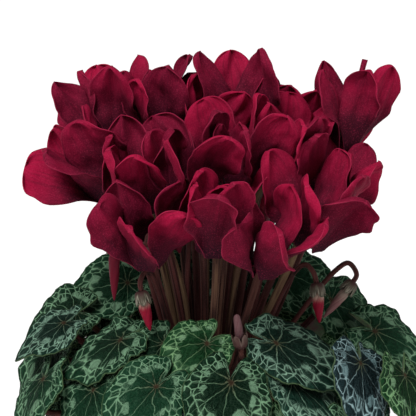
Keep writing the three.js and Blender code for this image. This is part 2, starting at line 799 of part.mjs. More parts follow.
export const log = [];
BUDS.forEach((site, i) => {
  const parts = budStalk(site, crownRoot(Math.atan2(site.y, site.x) / DEGREE, CROWN.radius - 6));
  const bud = makeBud(site);
  placed.petals.push(bud);
  placed.stalks.push(...parts);
  growth.push(...parts);
  addPiece(`bud_${two(i)}`, bud, COLOURS.bud, 0.55);
});
FLOWERS.forEach((site, i) => {
  const found = findFlower(site, i, placed);
  if (!found) {
    log.push(`flower ${i} found no place`);
    return;
  }
  log.push(`flower ${i}: attempt ${found.attempt}`);
  placed.petals.push(...found.solids);
  placed.stalks.push(...found.stalks);
  growth.push(...found.stalks);
  addPiece(`flower_${two(i)}`, makeFlower(found.pose, found.petals), COLOURS.petals, 0.5);
});
LEAVES.forEach((site, i) => {
  const found = findLeaf(site, i, placed);
  if (!found) {
    log.push(`leaf ${i} found no place`);
    placed.blades.push(null);
    placed.plain.push(null);
    return;
  }
  log.push(`leaf ${i}: attempt ${found.attempt}`);
  placed.blades.push(found.blade);
  placed.plain.push(found.plain);
  placed.stalks.push(found.stem);
  growth.push(found.stem);
});
LEAVES.forEach((site, i) => {
  if (site.on !== undefined) return;
  const fused = LEAVES.flatMap((other, k) => (other.on === i ? [placed.plain[k]] : []));
  const blades = [placed.plain[i], ...fused].filter((blade) => blade);
  if (blades.length > 0) addPiece(`leaf_${two(i)}`, union(blades), COLOURS.leaf, 0.6);
});
addPiece("pot", pot, COLOURS.pot, 0.8);
addPiece("compost", compost, COLOURS.compost, 0.95);
addPiece("tuber", tuber, COLOURS.tuber, 0.9);
addPiece("stalks", union(growth), COLOURS.stalks, 0.6);

export default cyclamen;
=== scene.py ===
"""Dresses the potted cyclamen: velvet flowers on hooked stalks, marbled leaves, tuber, compost, pot.

Inside the classes lengths are millimetres, +Z up, as in the part's source. Meshes are in metres.
"""

import logging
import math
from dataclasses import dataclass, field, replace
from enum import Enum
from typing import Callable, Optional, Sequence, Union

import bmesh
import bpy
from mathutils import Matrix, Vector, kdtree, noise
from mathutils.bvhtree import BVHTree


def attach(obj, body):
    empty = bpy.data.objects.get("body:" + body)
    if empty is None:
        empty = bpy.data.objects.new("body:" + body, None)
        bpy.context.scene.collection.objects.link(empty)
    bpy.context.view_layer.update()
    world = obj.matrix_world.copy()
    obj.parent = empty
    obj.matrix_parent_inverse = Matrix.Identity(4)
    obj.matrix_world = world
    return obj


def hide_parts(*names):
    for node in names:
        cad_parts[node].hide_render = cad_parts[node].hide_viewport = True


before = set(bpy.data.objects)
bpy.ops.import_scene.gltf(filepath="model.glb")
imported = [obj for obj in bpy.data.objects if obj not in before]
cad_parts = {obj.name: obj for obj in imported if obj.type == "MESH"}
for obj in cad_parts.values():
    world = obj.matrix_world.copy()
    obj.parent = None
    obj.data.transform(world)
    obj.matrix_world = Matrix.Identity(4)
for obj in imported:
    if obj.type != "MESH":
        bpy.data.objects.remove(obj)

MM = 0.001
DEGREE = math.pi / 180
TURN = 2 * math.pi
LOG = logging.getLogger("cyclamen")

# The rule of the seeded draws, and the seed of the petals' own bends.
FACTOR, MODULUS = 16807, 2147483647
STRIDE, START = 7919, 104729
SHAPES = 77

# A misfit in millimetres that ends the search for a node's pose, and the attempts of flowers and leaves.
FITS = 0.03
FLOWER_TRIES = 60
LEAF_TRIES = 240

# Half the angle of a blade's margin, from its tip to its cleft.
BLADE_TURN = math.pi - 0.1

# The numbers of the first young leaf and the first late bud, beyond those of the CAD nodes.
FIRST_YOUNG = 100
FIRST_LATE = 10

Colour = tuple[float, float, float]
Socket = bpy.types.NodeSocket
Value = Union[float, Socket]
Place = Callable[[float, float], Vector]
Spot = tuple[float, float, float]


# ---------------------------------------------------------------- measures
class Draws:
    """The seeded draws that place and bend each flower, petal and leaf."""

    def __init__(self, seed: int) -> None:
        """Start the draws.

        Args:
            seed: The number that fixes every later draw.
        """
        self.state = (seed * STRIDE + START) % MODULUS
        for _ in range(3):
            self.next()

    def next(self) -> float:
        """Return the next draw, from 0 to 1."""
        self.state = (self.state * FACTOR) % MODULUS
        return self.state / MODULUS

    def spread(self, reach: float) -> float:
        """Return the next draw, from -reach to reach."""
        return (2 * self.next() - 1) * reach


def polar(degrees: float, radius: float, z: float = 0.0) -> Vector:
    """Return a point by its bearing round the plant's axis.

    Args:
        degrees: Bearing, 0 is +X and 90 is +Y.
        radius: Distance from the axis.
        z: Height.

    Returns:
        The point, in millimetres.
    """
    a = degrees * DEGREE
    return Vector((radius * math.cos(a), radius * math.sin(a), z))


def knot_value(knots: Sequence[tuple[float, float]], share: float) -> float:
    """Return the height of a broken line through knots.

    Args:
        knots: Pairs of share and value, in rising order of share.
        share: Where to read the line.

    Returns:
        The value there, read straight between the two knots around it.
    """
    for (a, low), (b, high) in zip(knots, knots[1:]):
        if share <= b:
            t = max(0.0, (share - a) / (b - a))
            return low + (high - low) * t
    return knots[-1][1]


def ease(low: float, high: float, x: float) -> float:
    """Return 0 below low, 1 above high and a smooth rise between them."""
    t = min(1.0, max(0.0, (x - low) / (high - low)))
    return t * t * (3 - 2 * t)


@dataclass(frozen=True)
class Stand:
    """A place on the plant with its own directions."""

    at: Vector
    u: Vector
    v: Vector
    w: Vector

    def point(self, radius: float, degrees: float, height: float) -> Vector:
        """Return a point by its bearing round this place's own axis w.

        Args:
            radius: Distance from the axis.
            degrees: Bearing from u towards v.
            height: Distance along w.

        Returns:
            The point, in millimetres.
        """
        a = degrees * DEGREE
        return self.at + self.u * (radius * math.cos(a)) + self.v * (radius * math.sin(a)) + self.w * height


def bezier(ends: Sequence[Vector], share: float) -> Vector:
    """Return a point of a cubic curve.

    Args:
        ends: Its start, two handles and end.
        share: From 0 at the start to 1 at the end.

    Returns:
        The point.
    """
    a, b, c, d = ends
    s = 1 - share
    return a * s**3 + b * (3 * s * s * share) + c * (3 * s * share * share) + d * share**3


def through(points: Sequence[Vector], share: float) -> Vector:
    """Return a point of the smooth curve through points, tight at close ones.

    Args:
        points: The points that the curve passes.
        share: From 0 at the first to 1 at the last.

    Returns:
        The point.
    """
    last = len(points) - 1
    k = min(last - 1, int(share * last))
    t = share * last - k
    p1, p2 = points[k], points[k + 1]
    p0 = points[k - 1] if k else p1 * 2 - p2
    p3 = points[k + 2] if k + 2 <= last else p2 * 2 - p1
    d0, d1, d2 = (max(1e-4, (b - a).length ** 0.5) for a, b in ((p0, p1), (p1, p2), (p2, p3)))
    m1 = ((p1 - p0) / d0 - (p2 - p0) / (d0 + d1) + (p2 - p1) / d1) * d1
    m2 = ((p2 - p1) / d1 - (p3 - p1) / (d1 + d2) + (p3 - p2) / d2) * d1
    return p1 + m1 * t + (p2 * 3 - p1 * 3 - m1 * 2 - m2) * t**2 + (p1 * 2 - p2 * 2 + m1 + m2) * t**3


class Marks:
    """The corners of CAD nodes, by which a piece finds the pose that its node was built with."""

    def __init__(self, *nodes: str) -> None:
        """Gather the corners.

        Args:
            nodes: Names of CAD nodes.
        """
        spots = {
            tuple(round(c / MM, 2) for c in vert.co)
            for node in nodes
            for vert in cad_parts[node].data.vertices
        }
        self.tree = kdtree.KDTree(len(spots))
        for i, spot in enumerate(sorted(spots)):
            self.tree.insert(spot, i)
        self.tree.balance()

    def miss(self, point: Vector) -> float:
        """Return how far the nearest corner is from a point."""
        return self.tree.find(point)[2]

    def off_middle(self, point: Vector) -> float:
        """Return how far a point is from the middle of the two corners nearest to it."""
        (a, _, _), (b, _, _) = self.tree.find_n(point, 2)
        return ((a + b) / 2 - point).length

    def best(self, count: int, trial: Callable[[int], float]) -> tuple[int, float]:
        """Return the first attempt that fits the corners.

        Args:
            count: How many attempts there are.
            trial: Gives an attempt's misfit in millimetres.

        Returns:
            The attempt and its misfit.
        """
        found, least = 0, math.inf
        for attempt in range(count):
            misfit = trial(attempt)
            if misfit < least:
                found, least = attempt, misfit
            if least < FITS:
                break
        return found, least


# ---------------------------------------------------------------- meshes
class Sheets:
    """A mesh in the making, of grids that a rule bends into petals, blades, buds and stalks."""

    def __init__(self) -> None:
        """Start an empty mesh with a map of shares and a map of flat places."""
        self.bm = bmesh.new()
        self.share = self.bm.loops.layers.uv.new("share")
        self.flat = self.bm.loops.layers.uv.new("flat")
        self.tone = self.bm.verts.layers.float.new("tone")

    def grid(
        self,
        across: int,
        along: int,
        place: Place,
        finish: int = 0,
        tone: float = 0.5,
        flat: Optional[Callable[[float, float], tuple[float, float]]] = None,
    ) -> None:
        """Add one grid, bent by a rule.

        Args:
            across: Faces across it.
            along: Faces along it.
            place: Gives the point, in millimetres, at shares u and v from 0 to 1.
            finish: Index of its material.
            tone: A number from 0 to 1 that its material may vary by.
            flat: Gives the flat place that a pattern is drawn at.
        """
        made = bmesh.ops.create_grid(self.bm, x_segments=across, y_segments=along, size=1.0)["verts"]
        spots = {vert: ((vert.co.x + 1) / 2, (vert.co.y + 1) / 2) for vert in made}
        for face in {f for vert in made for f in vert.link_faces}:
            face.smooth = True
            face.material_index = finish
            for loop in face.loops:
                u, v = spots[loop.vert]
                loop[self.share].uv = (u, v)
                loop[self.flat].uv = flat(u, v) if flat else (u, v)
        for vert, (u, v) in spots.items():
            vert.co = place(u, v) * MM
            vert[self.tone] = tone

    def rod(
        self,
        line: Callable[[float], Vector],
        radius: Callable[[float], float],
        sides: int,
        steps: int,
        finish: int = 0,
        tone: float = 0.5,
    ) -> None:
        """Add a round rod along a line, its ends drawn to a point.

        Args:
            line: Gives the middle of the rod at a share of its length.
            radius: Gives its radius there.
            sides: Faces round it.
            steps: Faces along it.
            finish: Index of its material.
            tone: A number from 0 to 1 that its material may vary by.
        """
        rows = []
        side = Vector((1, 0.1, 0))
        for i in range(steps + 1):
            share = i / steps
            heading = (line(min(1, share + 0.004)) - line(max(0, share - 0.004))).normalized()
            side = (side - heading * side.dot(heading)).normalized()
            rows.append((line(share), side.copy(), heading.cross(side)))

        def place(u: float, v: float) -> Vector:
            """Return the point of the rod's skin at u round it and v along it.

            Args:
                u: Share round it.
                v: Share along it.

            Returns:
                The point, in millimetres.
            """
            middle, first, second = rows[round(v * steps)]
            r = radius(v) if 0 < v < 1 else 0.0
            return middle + first * (r * math.cos(TURN * u)) + second * (r * math.sin(TURN * u))

        self.grid(sides, steps, place, finish, tone)

    def piece(
        self, name: str, finishes: Sequence[bpy.types.Material], slot: str, nodes: Sequence[str]
    ) -> bpy.types.Object:
        """Weld the grids and make them a piece of the plant.

        Args:
            name: The piece's name.
            finishes: Its materials.
            slot: The name of a material slot, which is not used.
            nodes: The CAD nodes that it stands for.

        Returns:
            The piece.
        """
        bmesh.ops.remove_doubles(self.bm, verts=self.bm.verts, dist=2e-6)
        return piece_of(self.bm, name, finishes, nodes)


def placed(name: str, data: bpy.types.ID) -> bpy.types.Object:
    """Return a new object of the scene that holds this data.

    Args:
        name: The object's name.
        data: Its mesh, light or camera data.

    Returns:
        The object.
    """
    obj = bpy.data.objects.new(name, data)
    bpy.context.scene.collection.objects.link(obj)
    return obj


def piece_of(
    bm: bmesh.types.BMesh, name: str, finishes: Sequence[bpy.types.Material], nodes: Sequence[str]
) -> bpy.types.Object:
    """Make a finished mesh a piece of the plant.

    Args:
        bm: The mesh, in metres, which is used up.
        name: The piece's name.
        finishes: Its materials.
        nodes: The CAD nodes that it stands for.

    Returns:
        The piece, riding with the plant.
    """
    mesh = bpy.data.meshes.new(name)
    bm.to_mesh(mesh)
    bm.free()
    for material in finishes:
        mesh.materials.append(material)
    obj = placed(name, mesh)
    if nodes:
        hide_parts(*nodes)
    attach(obj, "root")
    return obj


def skin_of(obj: bpy.types.Object) -> BVHTree:
    """Return a piece's faces, for a test of what touches it."""
    return BVHTree.FromPolygons([v.co for v in obj.data.vertices], [f.vertices for f in obj.data.polygons])


def clear(shape: BVHTree, others: Sequence[BVHTree]) -> bool:
    """Return whether a shape meets none of the others."""
    return not any(other.overlap(shape) for other in others)


def thicken(obj: bpy.types.Object, thickness: float, under: int = 0) -> None:
    """Give a sheet its thickness.

    Args:
        obj: The piece.
        thickness: In millimetres, half to each side.
        under: How many materials further on its underside is.
    """
    wall = obj.modifiers.new("wall", "SOLIDIFY")
    wall.thickness = thickness * MM
    wall.offset = 0
    wall.use_even_offset = False
    wall.material_offset = under


def round_off(obj: bpy.types.Object) -> None:
    """Smooth a piece with one level of subdivision."""
    subdivision = obj.modifiers.new("smooth", "SUBSURF")
    subdivision.levels = subdivision.render_levels = 1


def spun(profile: Sequence[tuple[float, float]], sides: int) -> bmesh.types.BMesh:
    """Turn a profile about +Z.

    Args:
        profile: Pairs of radius and height in millimetres, in the order that puts faces outwards.
        sides: Faces round it.

    Returns:
        The turned mesh, in metres, with its doubles merged and its parts in the same order in every run.
    """
    bm = bmesh.new()
    verts = [bm.verts.new((r * MM, 0, z * MM)) for r, z in profile]
    edges = [bm.edges.new(pair) for pair in zip(verts, verts[1:])]
    bmesh.ops.spin(
        bm,
        geom=verts + edges,
        cent=(0, 0, 0),
        axis=(0, 0, 1),
        angle=TURN,
        steps=sides,
        use_merge=True,
    )
    bmesh.ops.remove_doubles(bm, verts=bm.verts, dist=1e-6)
    bm.verts.index_update()
    count = len(bm.verts)

    def rank(part: Union[bmesh.types.BMEdge, bmesh.types.BMFace]) -> float:
        """Return a number that orders edges or faces by their corners."""
        corners = sorted(vert.index for vert in part.verts)
        return (corners[0] * count + corners[1]) * count + corners[-1]

    bm.edges.sort(key=rank)
    bm.faces.sort(key=rank)
    for face in bm.faces:
        face.smooth = True
    bmesh.ops.recalc_face_normals(bm, faces=bm.faces)
    return bm


# ---------------------------------------------------------------- finishes
class Dye:
    """A material's nodes, built towards its surface."""

    def __init__(self, name: str) -> None:
        """Start a material with one surface shader.

        Args:
            name: The material's name.
        """
        self.material = bpy.data.materials.new(name)
        self.material.use_nodes = True
        self.tree = self.material.node_tree
        self.skin = next(n for n in self.tree.nodes if n.type == "BSDF_PRINCIPLED")

    def node(self, kind: str, inputs: dict[Union[int, str], object], **settings: object) -> bpy.types.Node:
        """Add a node.

        Args:
            kind: The node's type.
            inputs: Values or sockets by input name or number.
            settings: The node's own settings.

        Returns:
            The node.
        """
        made = self.tree.nodes.new(kind)
        for key, value in settings.items():
            setattr(made, key, value)
        for key, value in inputs.items():
            self.feed(made.inputs[key], value)
        return made

    def feed(self, socket: Socket, value: object) -> None:
        """Set a socket to a number or colour, or link another socket to it.

        Args:
            socket: The socket.
            value: A number, a colour or another socket.
        """
        if isinstance(value, bpy.types.NodeSocket):
            self.tree.links.new(value, socket)
        elif isinstance(value, tuple) and len(value) == 3 and len(socket.default_value) == 4:
            socket.default_value = (*value, 1.0)
        else:
            socket.default_value = value

    def math(self, operation: str, a: Value, b: Value = 0.0, c: Value = 0.0, clamp: bool = False) -> Socket:
        """Return the result of one sum."""
        made = self.node("ShaderNodeMath", {0: a, 1: b, 2: c}, operation=operation, use_clamp=clamp)
        return made.outputs[0]

    def times(self, a: Value, b: Value, clamp: bool = False) -> Socket:
        """Return a product."""
        return self.math("MULTIPLY", a, b, clamp=clamp)

    def plus(self, a: Value, b: Value) -> Socket:
        """Return a sum."""
        return self.math("ADD", a, b)

    def minus(self, a: Value, b: Value, clamp: bool = False) -> Socket:
        """Return a difference."""
        return self.math("SUBTRACT", a, b, clamp=clamp)

    def line(self, value: Value, slope: Value, start: Value) -> Socket:
        """Return a value times a slope, plus a start."""
        return self.math("MULTIPLY_ADD", value, slope, start)

    def length(self, x: Value, y: Value) -> Socket:
        """Return how far a flat place is from the origin."""
        return self.math("SQRT", self.plus(self.math("POWER", x, 2.0), self.math("POWER", y, 2.0)))

    def off_whole(self, sector: Socket) -> Socket:
        """Return how far a number is from the nearest whole one."""
        return self.math("ABSOLUTE", self.minus(sector, self.math("ROUND", sector)))

    def rise(self, value: Value, low: float, high: float) -> Socket:
        """Return a smooth rise from 0 at low to 1 at high, or a fall where high is lower.

        Args:
            value: What it rises with.
            low: Where it is 0.
            high: Where it is 1.

        Returns:
            The rise's socket.
        """
        ends = (low, high, 0.0, 1.0) if low < high else (high, low, 1.0, 0.0)
        inputs = {"Value": value, 1: ends[0], 2: ends[1], 3: ends[2], 4: ends[3]}
        return self.node("ShaderNodeMapRange", inputs, interpolation_type="SMOOTHSTEP").outputs[0]

    def mix(self, share: Value, first: Union[Colour, Socket], second: Union[Colour, Socket]) -> Socket:
        """Return a blend of two colours."""
        return self.node("ShaderNodeMix", {0: share, 6: first, 7: second}, data_type="RGBA").outputs[2]

    def places(self) -> Socket:
        """Return the piece's own coordinates, in metres."""
        return self.node("ShaderNodeTexCoord", {}).outputs["Object"]

    def map(self, name: str) -> Socket:
        """Return one of the piece's maps."""
        return self.node("ShaderNodeUVMap", {}, uv_map=name).outputs[0]

    def vector(self, operation: str, a: Value, b: object) -> Socket:
        """Return the result of one vector sum, of which b is the second vector or the scale."""
        second = {"Scale": b} if operation == "SCALE" else {1: b}
        return self.node("ShaderNodeVectorMath", {0: a, **second}, operation=operation).outputs[0]

    def split(self, vector: Socket) -> tuple[Socket, Socket, Socket]:
        """Return a vector's three parts."""
        made = self.node("ShaderNodeSeparateXYZ", {0: vector})
        return made.outputs[0], made.outputs[1], made.outputs[2]

    def joined(self, x: Value, y: Value, z: Value = 0.0) -> Socket:
        """Return a vector of three parts."""
        return self.node("ShaderNodeCombineXYZ", {0: x, 1: y, 2: z}).outputs[0]

    def tone(self) -> Socket:
        """Return the number that varies from one petal, leaf or stalk to the next."""
        return self.node("ShaderNodeAttribute", {}, attribute_name="tone").outputs["Fac"]

    def clouds(self, at: Socket, scale: float, detail: float = 3.0, rough: float = 0.55) -> Socket:
        """Return soft noise from 0 to 1."""
        inputs = {"Vector": at, "Scale": scale, "Detail": detail, "Roughness": rough}
        return self.node("ShaderNodeTexNoise", inputs).outputs[0]

    def cells(
        self, at: Socket, scale: float, feature: str = "DISTANCE_TO_EDGE", uneven: float = 1.0
    ) -> Socket:
        """Return the distance in a pattern of cells."""
        inputs = {"Vector": at, "Scale": scale, "Randomness": uneven}
        return self.node("ShaderNodeTexVoronoi", inputs, feature=feature).outputs["Distance"]

    def relief(self, height: Socket, depth: float, strength: float = 1.0) -> Socket:
        """Return the normal of a surface with this relief, its depth in metres."""
        inputs = {"Height": height, "Distance": depth, "Strength": strength}
        return self.node("ShaderNodeBump", inputs).outputs[0]

    def surface(
        self, colour: Socket, normal: Optional[Socket] = None, **numbers: object
    ) -> bpy.types.Material:
        """Feed the surface shader and return the material.

        Args:
            colour: Its colour.
            normal: Its relief.
            numbers: Other inputs, with _ for each blank in their names.

        Returns:
            The material.
        """
        self.feed(self.skin.inputs["Base Color"], colour)
        if normal:
            self.feed(self.skin.inputs["Normal"], normal)
        for key, value in numbers.items():
            self.feed(self.skin.inputs[key.replace("_", " ")], value)
        return self.material


@dataclass(frozen=True)
class PetalVelvet:
    """The velvet of an open petal: dark at its fold, partly its own dark eye and partly painted shade,
    crimson above, brighter on some petals with painted light, and with a painted highlight on its rim.
    """

    name: str = "petal_velvet"
    deep: Colour = (0.0155, 0.0040, 0.0085)
    crimson: Colour = (0.132, 0.0036, 0.0195)
    bright_and_painted_light: Colour = (0.29, 0.0048, 0.034)
    # The pale pink of the painted highlights, on the petal's rim and in its grain.
    rim: Colour = (0.42, 0.034, 0.085)

    def make(self) -> bpy.types.Material:
        """Build the material's nodes.

        Returns:
            The material.
        """
        dye = Dye(self.name)
        u, v, _ = dye.split(dye.map("share"))
        streaks = dye.clouds(dye.joined(dye.times(u, 22.0), dye.times(v, 2.2), dye.tone()), 1.0)
        blush = dye.clouds(dye.places(), 70.0, 2.0)
        grain = dye.clouds(dye.places(), 1300.0, 2.0, 0.7)
        # Painted shade: the petal darkens towards its fold and mouth, partly its own dark eye and partly
        # shade that falls there.
        height = dye.line(blush, 0.35, dye.plus(v, -0.17))
        colour = dye.mix(dye.rise(height, 0.12, 0.8), self.deep, self.crimson)
        # Painted light: on some petals the upper part turns brighter, partly their own tone and partly
        # painted light.
        lit = dye.line(dye.tone(), 0.7, dye.times(blush, 0.5))
        lit = dye.times(dye.rise(lit, 0.25, 0.95), dye.rise(height, 0.35, 0.85))
        colour = dye.mix(lit, colour, self.bright_and_painted_light)
        colour = dye.mix(dye.times(dye.rise(streaks, 0.45, 0.7), 0.3), colour, self.deep)
        # Pale pink grain specks: partly the velvet's own grain and partly painted sheen.
        colour = dye.mix(dye.times(dye.rise(grain, 0.5, 0.72), 0.3), colour, self.rim)
        colour = dye.mix(dye.times(dye.rise(grain, 0.48, 0.3), 0.3), colour, self.deep)
        # Painted highlight: a pale pink line along the petal's side edges and its tip.
        side = dye.math("ABSOLUTE", dye.line(u, 2.0, -1.0))
        edge = dye.math("MAXIMUM", dye.rise(side, 0.965, 0.995), dye.rise(v, 0.98, 1.0))
        colour = dye.mix(dye.times(edge, dye.times(blush, 0.55)), colour, self.rim)
        relief = dye.plus(streaks, dye.times(grain, 0.5))
        return dye.surface(
            colour,
            dye.relief(relief, 0.0004, 0.5),
            Roughness=0.75,
            Specular_IOR_Level=0.04,
            Sheen_Weight=0.07,
            Sheen_Roughness=0.35,
            Sheen_Tint=(0.95, 0.08, 0.2),
        )


@dataclass(frozen=True)
class BudSkin:
    """The skin of a furled bud, from its calyx to its tip, with ribs wound round it and painted shade in the
    grooves between them.
    """

    name: str
    near: Colour
    far: Colour
    change: float = 0.4
    # The colour of the painted shade in the grooves between the wound petals.
    fold: Colour = (0.06, 0.004, 0.012)

    def make(self) -> bpy.types.Material:
        """Build the material's nodes.

        Returns:
            The material.
        """
        dye = Dye(self.name)
        u, v, _ = dye.split(dye.map("share"))
        speckle = dye.clouds(dye.places(), 900.0, 3.0, 0.7)
        wander = dye.line(dye.clouds(dye.joined(dye.times(u, 9.0), v), 2.0), 0.3, v)
        colour = dye.mix(dye.rise(wander, self.change, self.change + 0.35), self.near, self.far)
        colour = dye.mix(dye.times(dye.rise(speckle, 0.5, 0.75), 0.4), colour, self.far)
        # Painted shade: the bud darkens in the grooves between its wound petals.
        groove = dye.math("ABSOLUTE", dye.math("SINE", dye.times(u, 5 * math.pi)))
        colour = dye.mix(dye.times(dye.rise(groove, 0.3, 0.0), 0.5), colour, self.fold)
        return dye.surface(
            colour,
            dye.relief(speckle, 0.0003, 0.5),
            Roughness=0.55,
            Specular_IOR_Level=0.08,
            Sheen_Weight=0.02,
            Sheen_Tint=(0.9, 0.4, 0.5),
        )


@dataclass(frozen=True)
class StalkSkin:
    """The fleshy, finely haired skin of a stalk, streaked along its length, its hairs picked out in pale
    specks that are partly painted highlight.
    """

    name: str = "stalk_skin"
    shade: Colour = (0.0105, 0.0042, 0.0042)
    maroon: Colour = (0.074, 0.0215, 0.0200)
    olive: Colour = (0.135, 0.090, 0.047)
    hair_and_painted_highlight: Colour = (0.22, 0.15, 0.125)

    def make(self) -> bpy.types.Material:
        """Build the material's nodes.

        Returns:
            The material.
        """
        dye = Dye(self.name)
        u, v, _ = dye.split(dye.map("share"))
        around = dye.math("SINE", dye.times(u, TURN))
        drawn = dye.joined(dye.times(around, 2.5), dye.times(v, 5.0), dye.times(dye.tone(), 9.0))
        streaks = dye.clouds(drawn, 1.6)
        colour = dye.mix(dye.rise(streaks, 0.3, 0.62), self.shade, self.maroon)
        greener = dye.times(dye.rise(dye.tone(), 0.35, 0.85), dye.rise(streaks, 0.35, 0.6))
        colour = dye.mix(dye.times(greener, 0.75), colour, self.olive)
        # Pale specks: partly the stalk's fine hairs and partly painted highlight where light catches them.
        hairs = dye.clouds(dye.places(), 2600.0, 2.0, 0.6)
        colour = dye.mix(dye.times(dye.rise(hairs, 0.56, 0.8), 0.45), colour, self.hair_and_painted_highlight)
        return dye.surface(
            colour,
            dye.relief(dye.plus(streaks, dye.times(hairs, 0.6)), 0.0004, 0.6),
            Roughness=0.6,
            Specular_IOR_Level=0.06,
            Sheen_Weight=0.02,
            Sheen_Tint=(0.8, 0.5, 0.5),
        )


@dataclass(frozen=True)
class CalyxSkin:
    """The dull grey-green of the sepals, with pale streaks and a brown foot; past tone 0.4 mostly brown."""

    name: str = "calyx_skin"
    green: Colour = (0.056, 0.050, 0.034)
    pale: Colour = (0.27, 0.24, 0.19)
    brown: Colour = (0.048, 0.019, 0.018)

    def make(self) -> bpy.types.Material:
        """Build the material's nodes.

        Returns:
            The material.
        """
        dye = Dye(self.name)
        u, v, _ = dye.split(dye.map("share"))
        streaks = dye.clouds(dye.joined(dye.times(u, 30.0), dye.times(v, 2.0)), 1.0, 4.0)
        colour = dye.mix(dye.rise(v, 0.25, 0.75), self.brown, self.green)
        flushed = dye.rise(dye.tone(), 0.4, 0.47)
        colour = dye.mix(dye.times(flushed, 0.85), colour, self.brown)
        paler = dye.times(dye.rise(streaks, 0.42, 0.7), dye.line(flushed, -0.8, 1.0))
        colour = dye.mix(dye.times(paler, dye.rise(v, 0.4, 0.9)), colour, self.pale)
        return dye.surface(colour, dye.relief(streaks, 0.0004, 0.6), Roughness=0.65, Specular_IOR_Level=0.15)


class LeafTint(Enum):
    """The cast of a leaf: its ground, its blotches and its net, as base colours."""

    DEEP = ((0.0030, 0.0180, 0.0080), (0.110, 0.200, 0.122), (0.132, 0.245, 0.142))
    FRESH = ((0.0038, 0.0235, 0.0075), (0.120, 0.215, 0.118), (0.140, 0.262, 0.122))
    SILVER = ((0.0032, 0.0175, 0.0110), (0.120, 0.205, 0.150), (0.160, 0.272, 0.195))
    BLUE = ((0.0048, 0.0145, 0.0165), (0.100, 0.165, 0.170), (0.215, 0.320, 0.325))


@dataclass(frozen=True)
class LeafMarbling:
    """A leaf's upper side: a pale blotch between each two main veins, a pale net outside them, and painted
    shade near the stalk giving way to painted light towards the margin.
    """

    tint: LeafTint
    veins: int = 9
    rib: Colour = (0.135, 0.160, 0.090)
    margin: Colour = (0.100, 0.155, 0.070)
    navel: Colour = (0.05, 0.02, 0.012)

    def make(self) -> bpy.types.Material:
        """Build the material's nodes.

        Returns:
            The material.
        """
        dye = Dye(f"leaf_marbling_{self.tint.name.lower()}")
        ground, blotch, net = self.tint.value
        flat = dye.map("flat")
        _, reach, _ = dye.split(dye.map("share"))
        place = dye.vector("ADD", flat, dye.joined(dye.times(dye.tone(), 40.0), 0.0))
        wobble = dye.node("ShaderNodeTexNoise", {"Vector": place, "Scale": 4.0, "Detail": 3.0}).outputs[1]
        bent = dye.vector("SCALE", dye.vector("ADD", wobble, (-0.5, -0.5, -0.5)), 0.16)
        bent = dye.vector("ADD", bent, flat)
        x, y, _ = dye.split(bent)
        away = dye.length(x, y)
        angle = dye.math("ARCTAN2", y, x)
        sector = dye.times(angle, self.veins / TURN)
        width = dye.times(away, TURN / self.veins)
        within = dye.off_whole(sector)
        thin = dye.line(away, -0.010, 0.0155)
        main = dye.minus(1.0, dye.math("DIVIDE", dye.times(within, width), thin), clamp=True)
        main = dye.times(dye.rise(main, 0.0, 0.6), dye.rise(reach, 0.95, 0.7))
        bay = dye.math("FLOOR", sector)
        seed = dye.joined(bay, dye.times(dye.tone(), 50.0))
        chance = dye.node("ShaderNodeTexWhiteNoise", {"Vector": seed}, noise_dimensions="3D")
        aside, outer, large = dye.split(chance.outputs[1])
        mottle = dye.clouds(place, 22.0, 4.0, 0.65)
        share = dye.minus(dye.minus(sector, bay), dye.line(aside, 0.4, 0.3))
        over = dye.times(share, width)
        along = dye.times(dye.minus(reach, dye.line(outer, 0.12, 0.53)), 0.85)
        gap = dye.length(over, along)
        gap = dye.plus(gap, dye.line(mottle, 0.09, -0.045))
        spot = dye.math("DIVIDE", gap, dye.line(large, 0.05, 0.046))
        spot = dye.rise(spot, 1.15, 0.85)
        jitter = dye.line(dye.clouds(place, 6.0, 2.0), 0.16, dye.plus(reach, -0.08))
        coil = dye.joined(dye.times(angle, 4.9), dye.times(jitter, 5.6), dye.times(dye.tone(), 30.0))
        edges = dye.cells(coil, 1.0, uneven=0.9)
        outside = dye.rise(reach, 0.5, 0.62)
        faint = dye.rise(dye.clouds(place, 9.0, 2.0), 0.3, 0.55)
        lines = dye.times(dye.times(dye.rise(edges, 0.075, 0.03), outside), dye.rise(reach, 0.985, 0.94))
        lines = dye.times(lines, dye.line(faint, 0.65, 0.35))
        halo = dye.times(dye.times(dye.rise(edges, 0.22, 0.04), outside), dye.rise(reach, 0.97, 0.75))
        # Painted shade and painted light: the ground runs from a shaded copy of its colour near the stalk to
        # a lit copy towards the margin, varied per leaf and by the mottle.
        lit = dye.line(dye.tone(), 0.5, dye.times(mottle, 0.8))
        lit = dye.line(reach, 0.4, dye.plus(lit, -0.25))
        shade, light = (tuple(c * k for c in ground) for k in (0.5, 1.6))
        colour = dye.mix(dye.rise(lit, 0.3, 0.95), shade, light)
        colour = dye.mix(dye.times(halo, 0.24), colour, blotch)
        fine = dye.rise(dye.cells(bent, 30.0), 0.1, 0.02)
        colour = dye.mix(dye.times(fine, 0.05), colour, net)
        colour = dye.mix(dye.times(lines, 0.9), colour, net)
        rib = dye.mix(dye.rise(away, 0.3, 0.05), net, self.rib)
        colour = dye.mix(dye.times(main, 0.5), colour, rib)
        colour = dye.mix(dye.times(spot, dye.line(mottle, 0.5, 0.6), clamp=True), colour, blotch)
        colour = dye.mix(dye.times(dye.rise(reach, 0.978, 0.995), 0.5), colour, self.margin)
        colour = dye.mix(dye.times(dye.rise(away, 0.06, 0.02), 0.8), colour, self.navel)
        pillow = dye.minus(dye.rise(edges, 0.0, 0.4), dye.times(main, 0.8))
        height = dye.plus(pillow, dye.times(mottle, 0.3))
        return dye.surface(colour, dye.relief(height, 0.0016, 0.8), Roughness=0.6, Specular_IOR_Level=0.04)


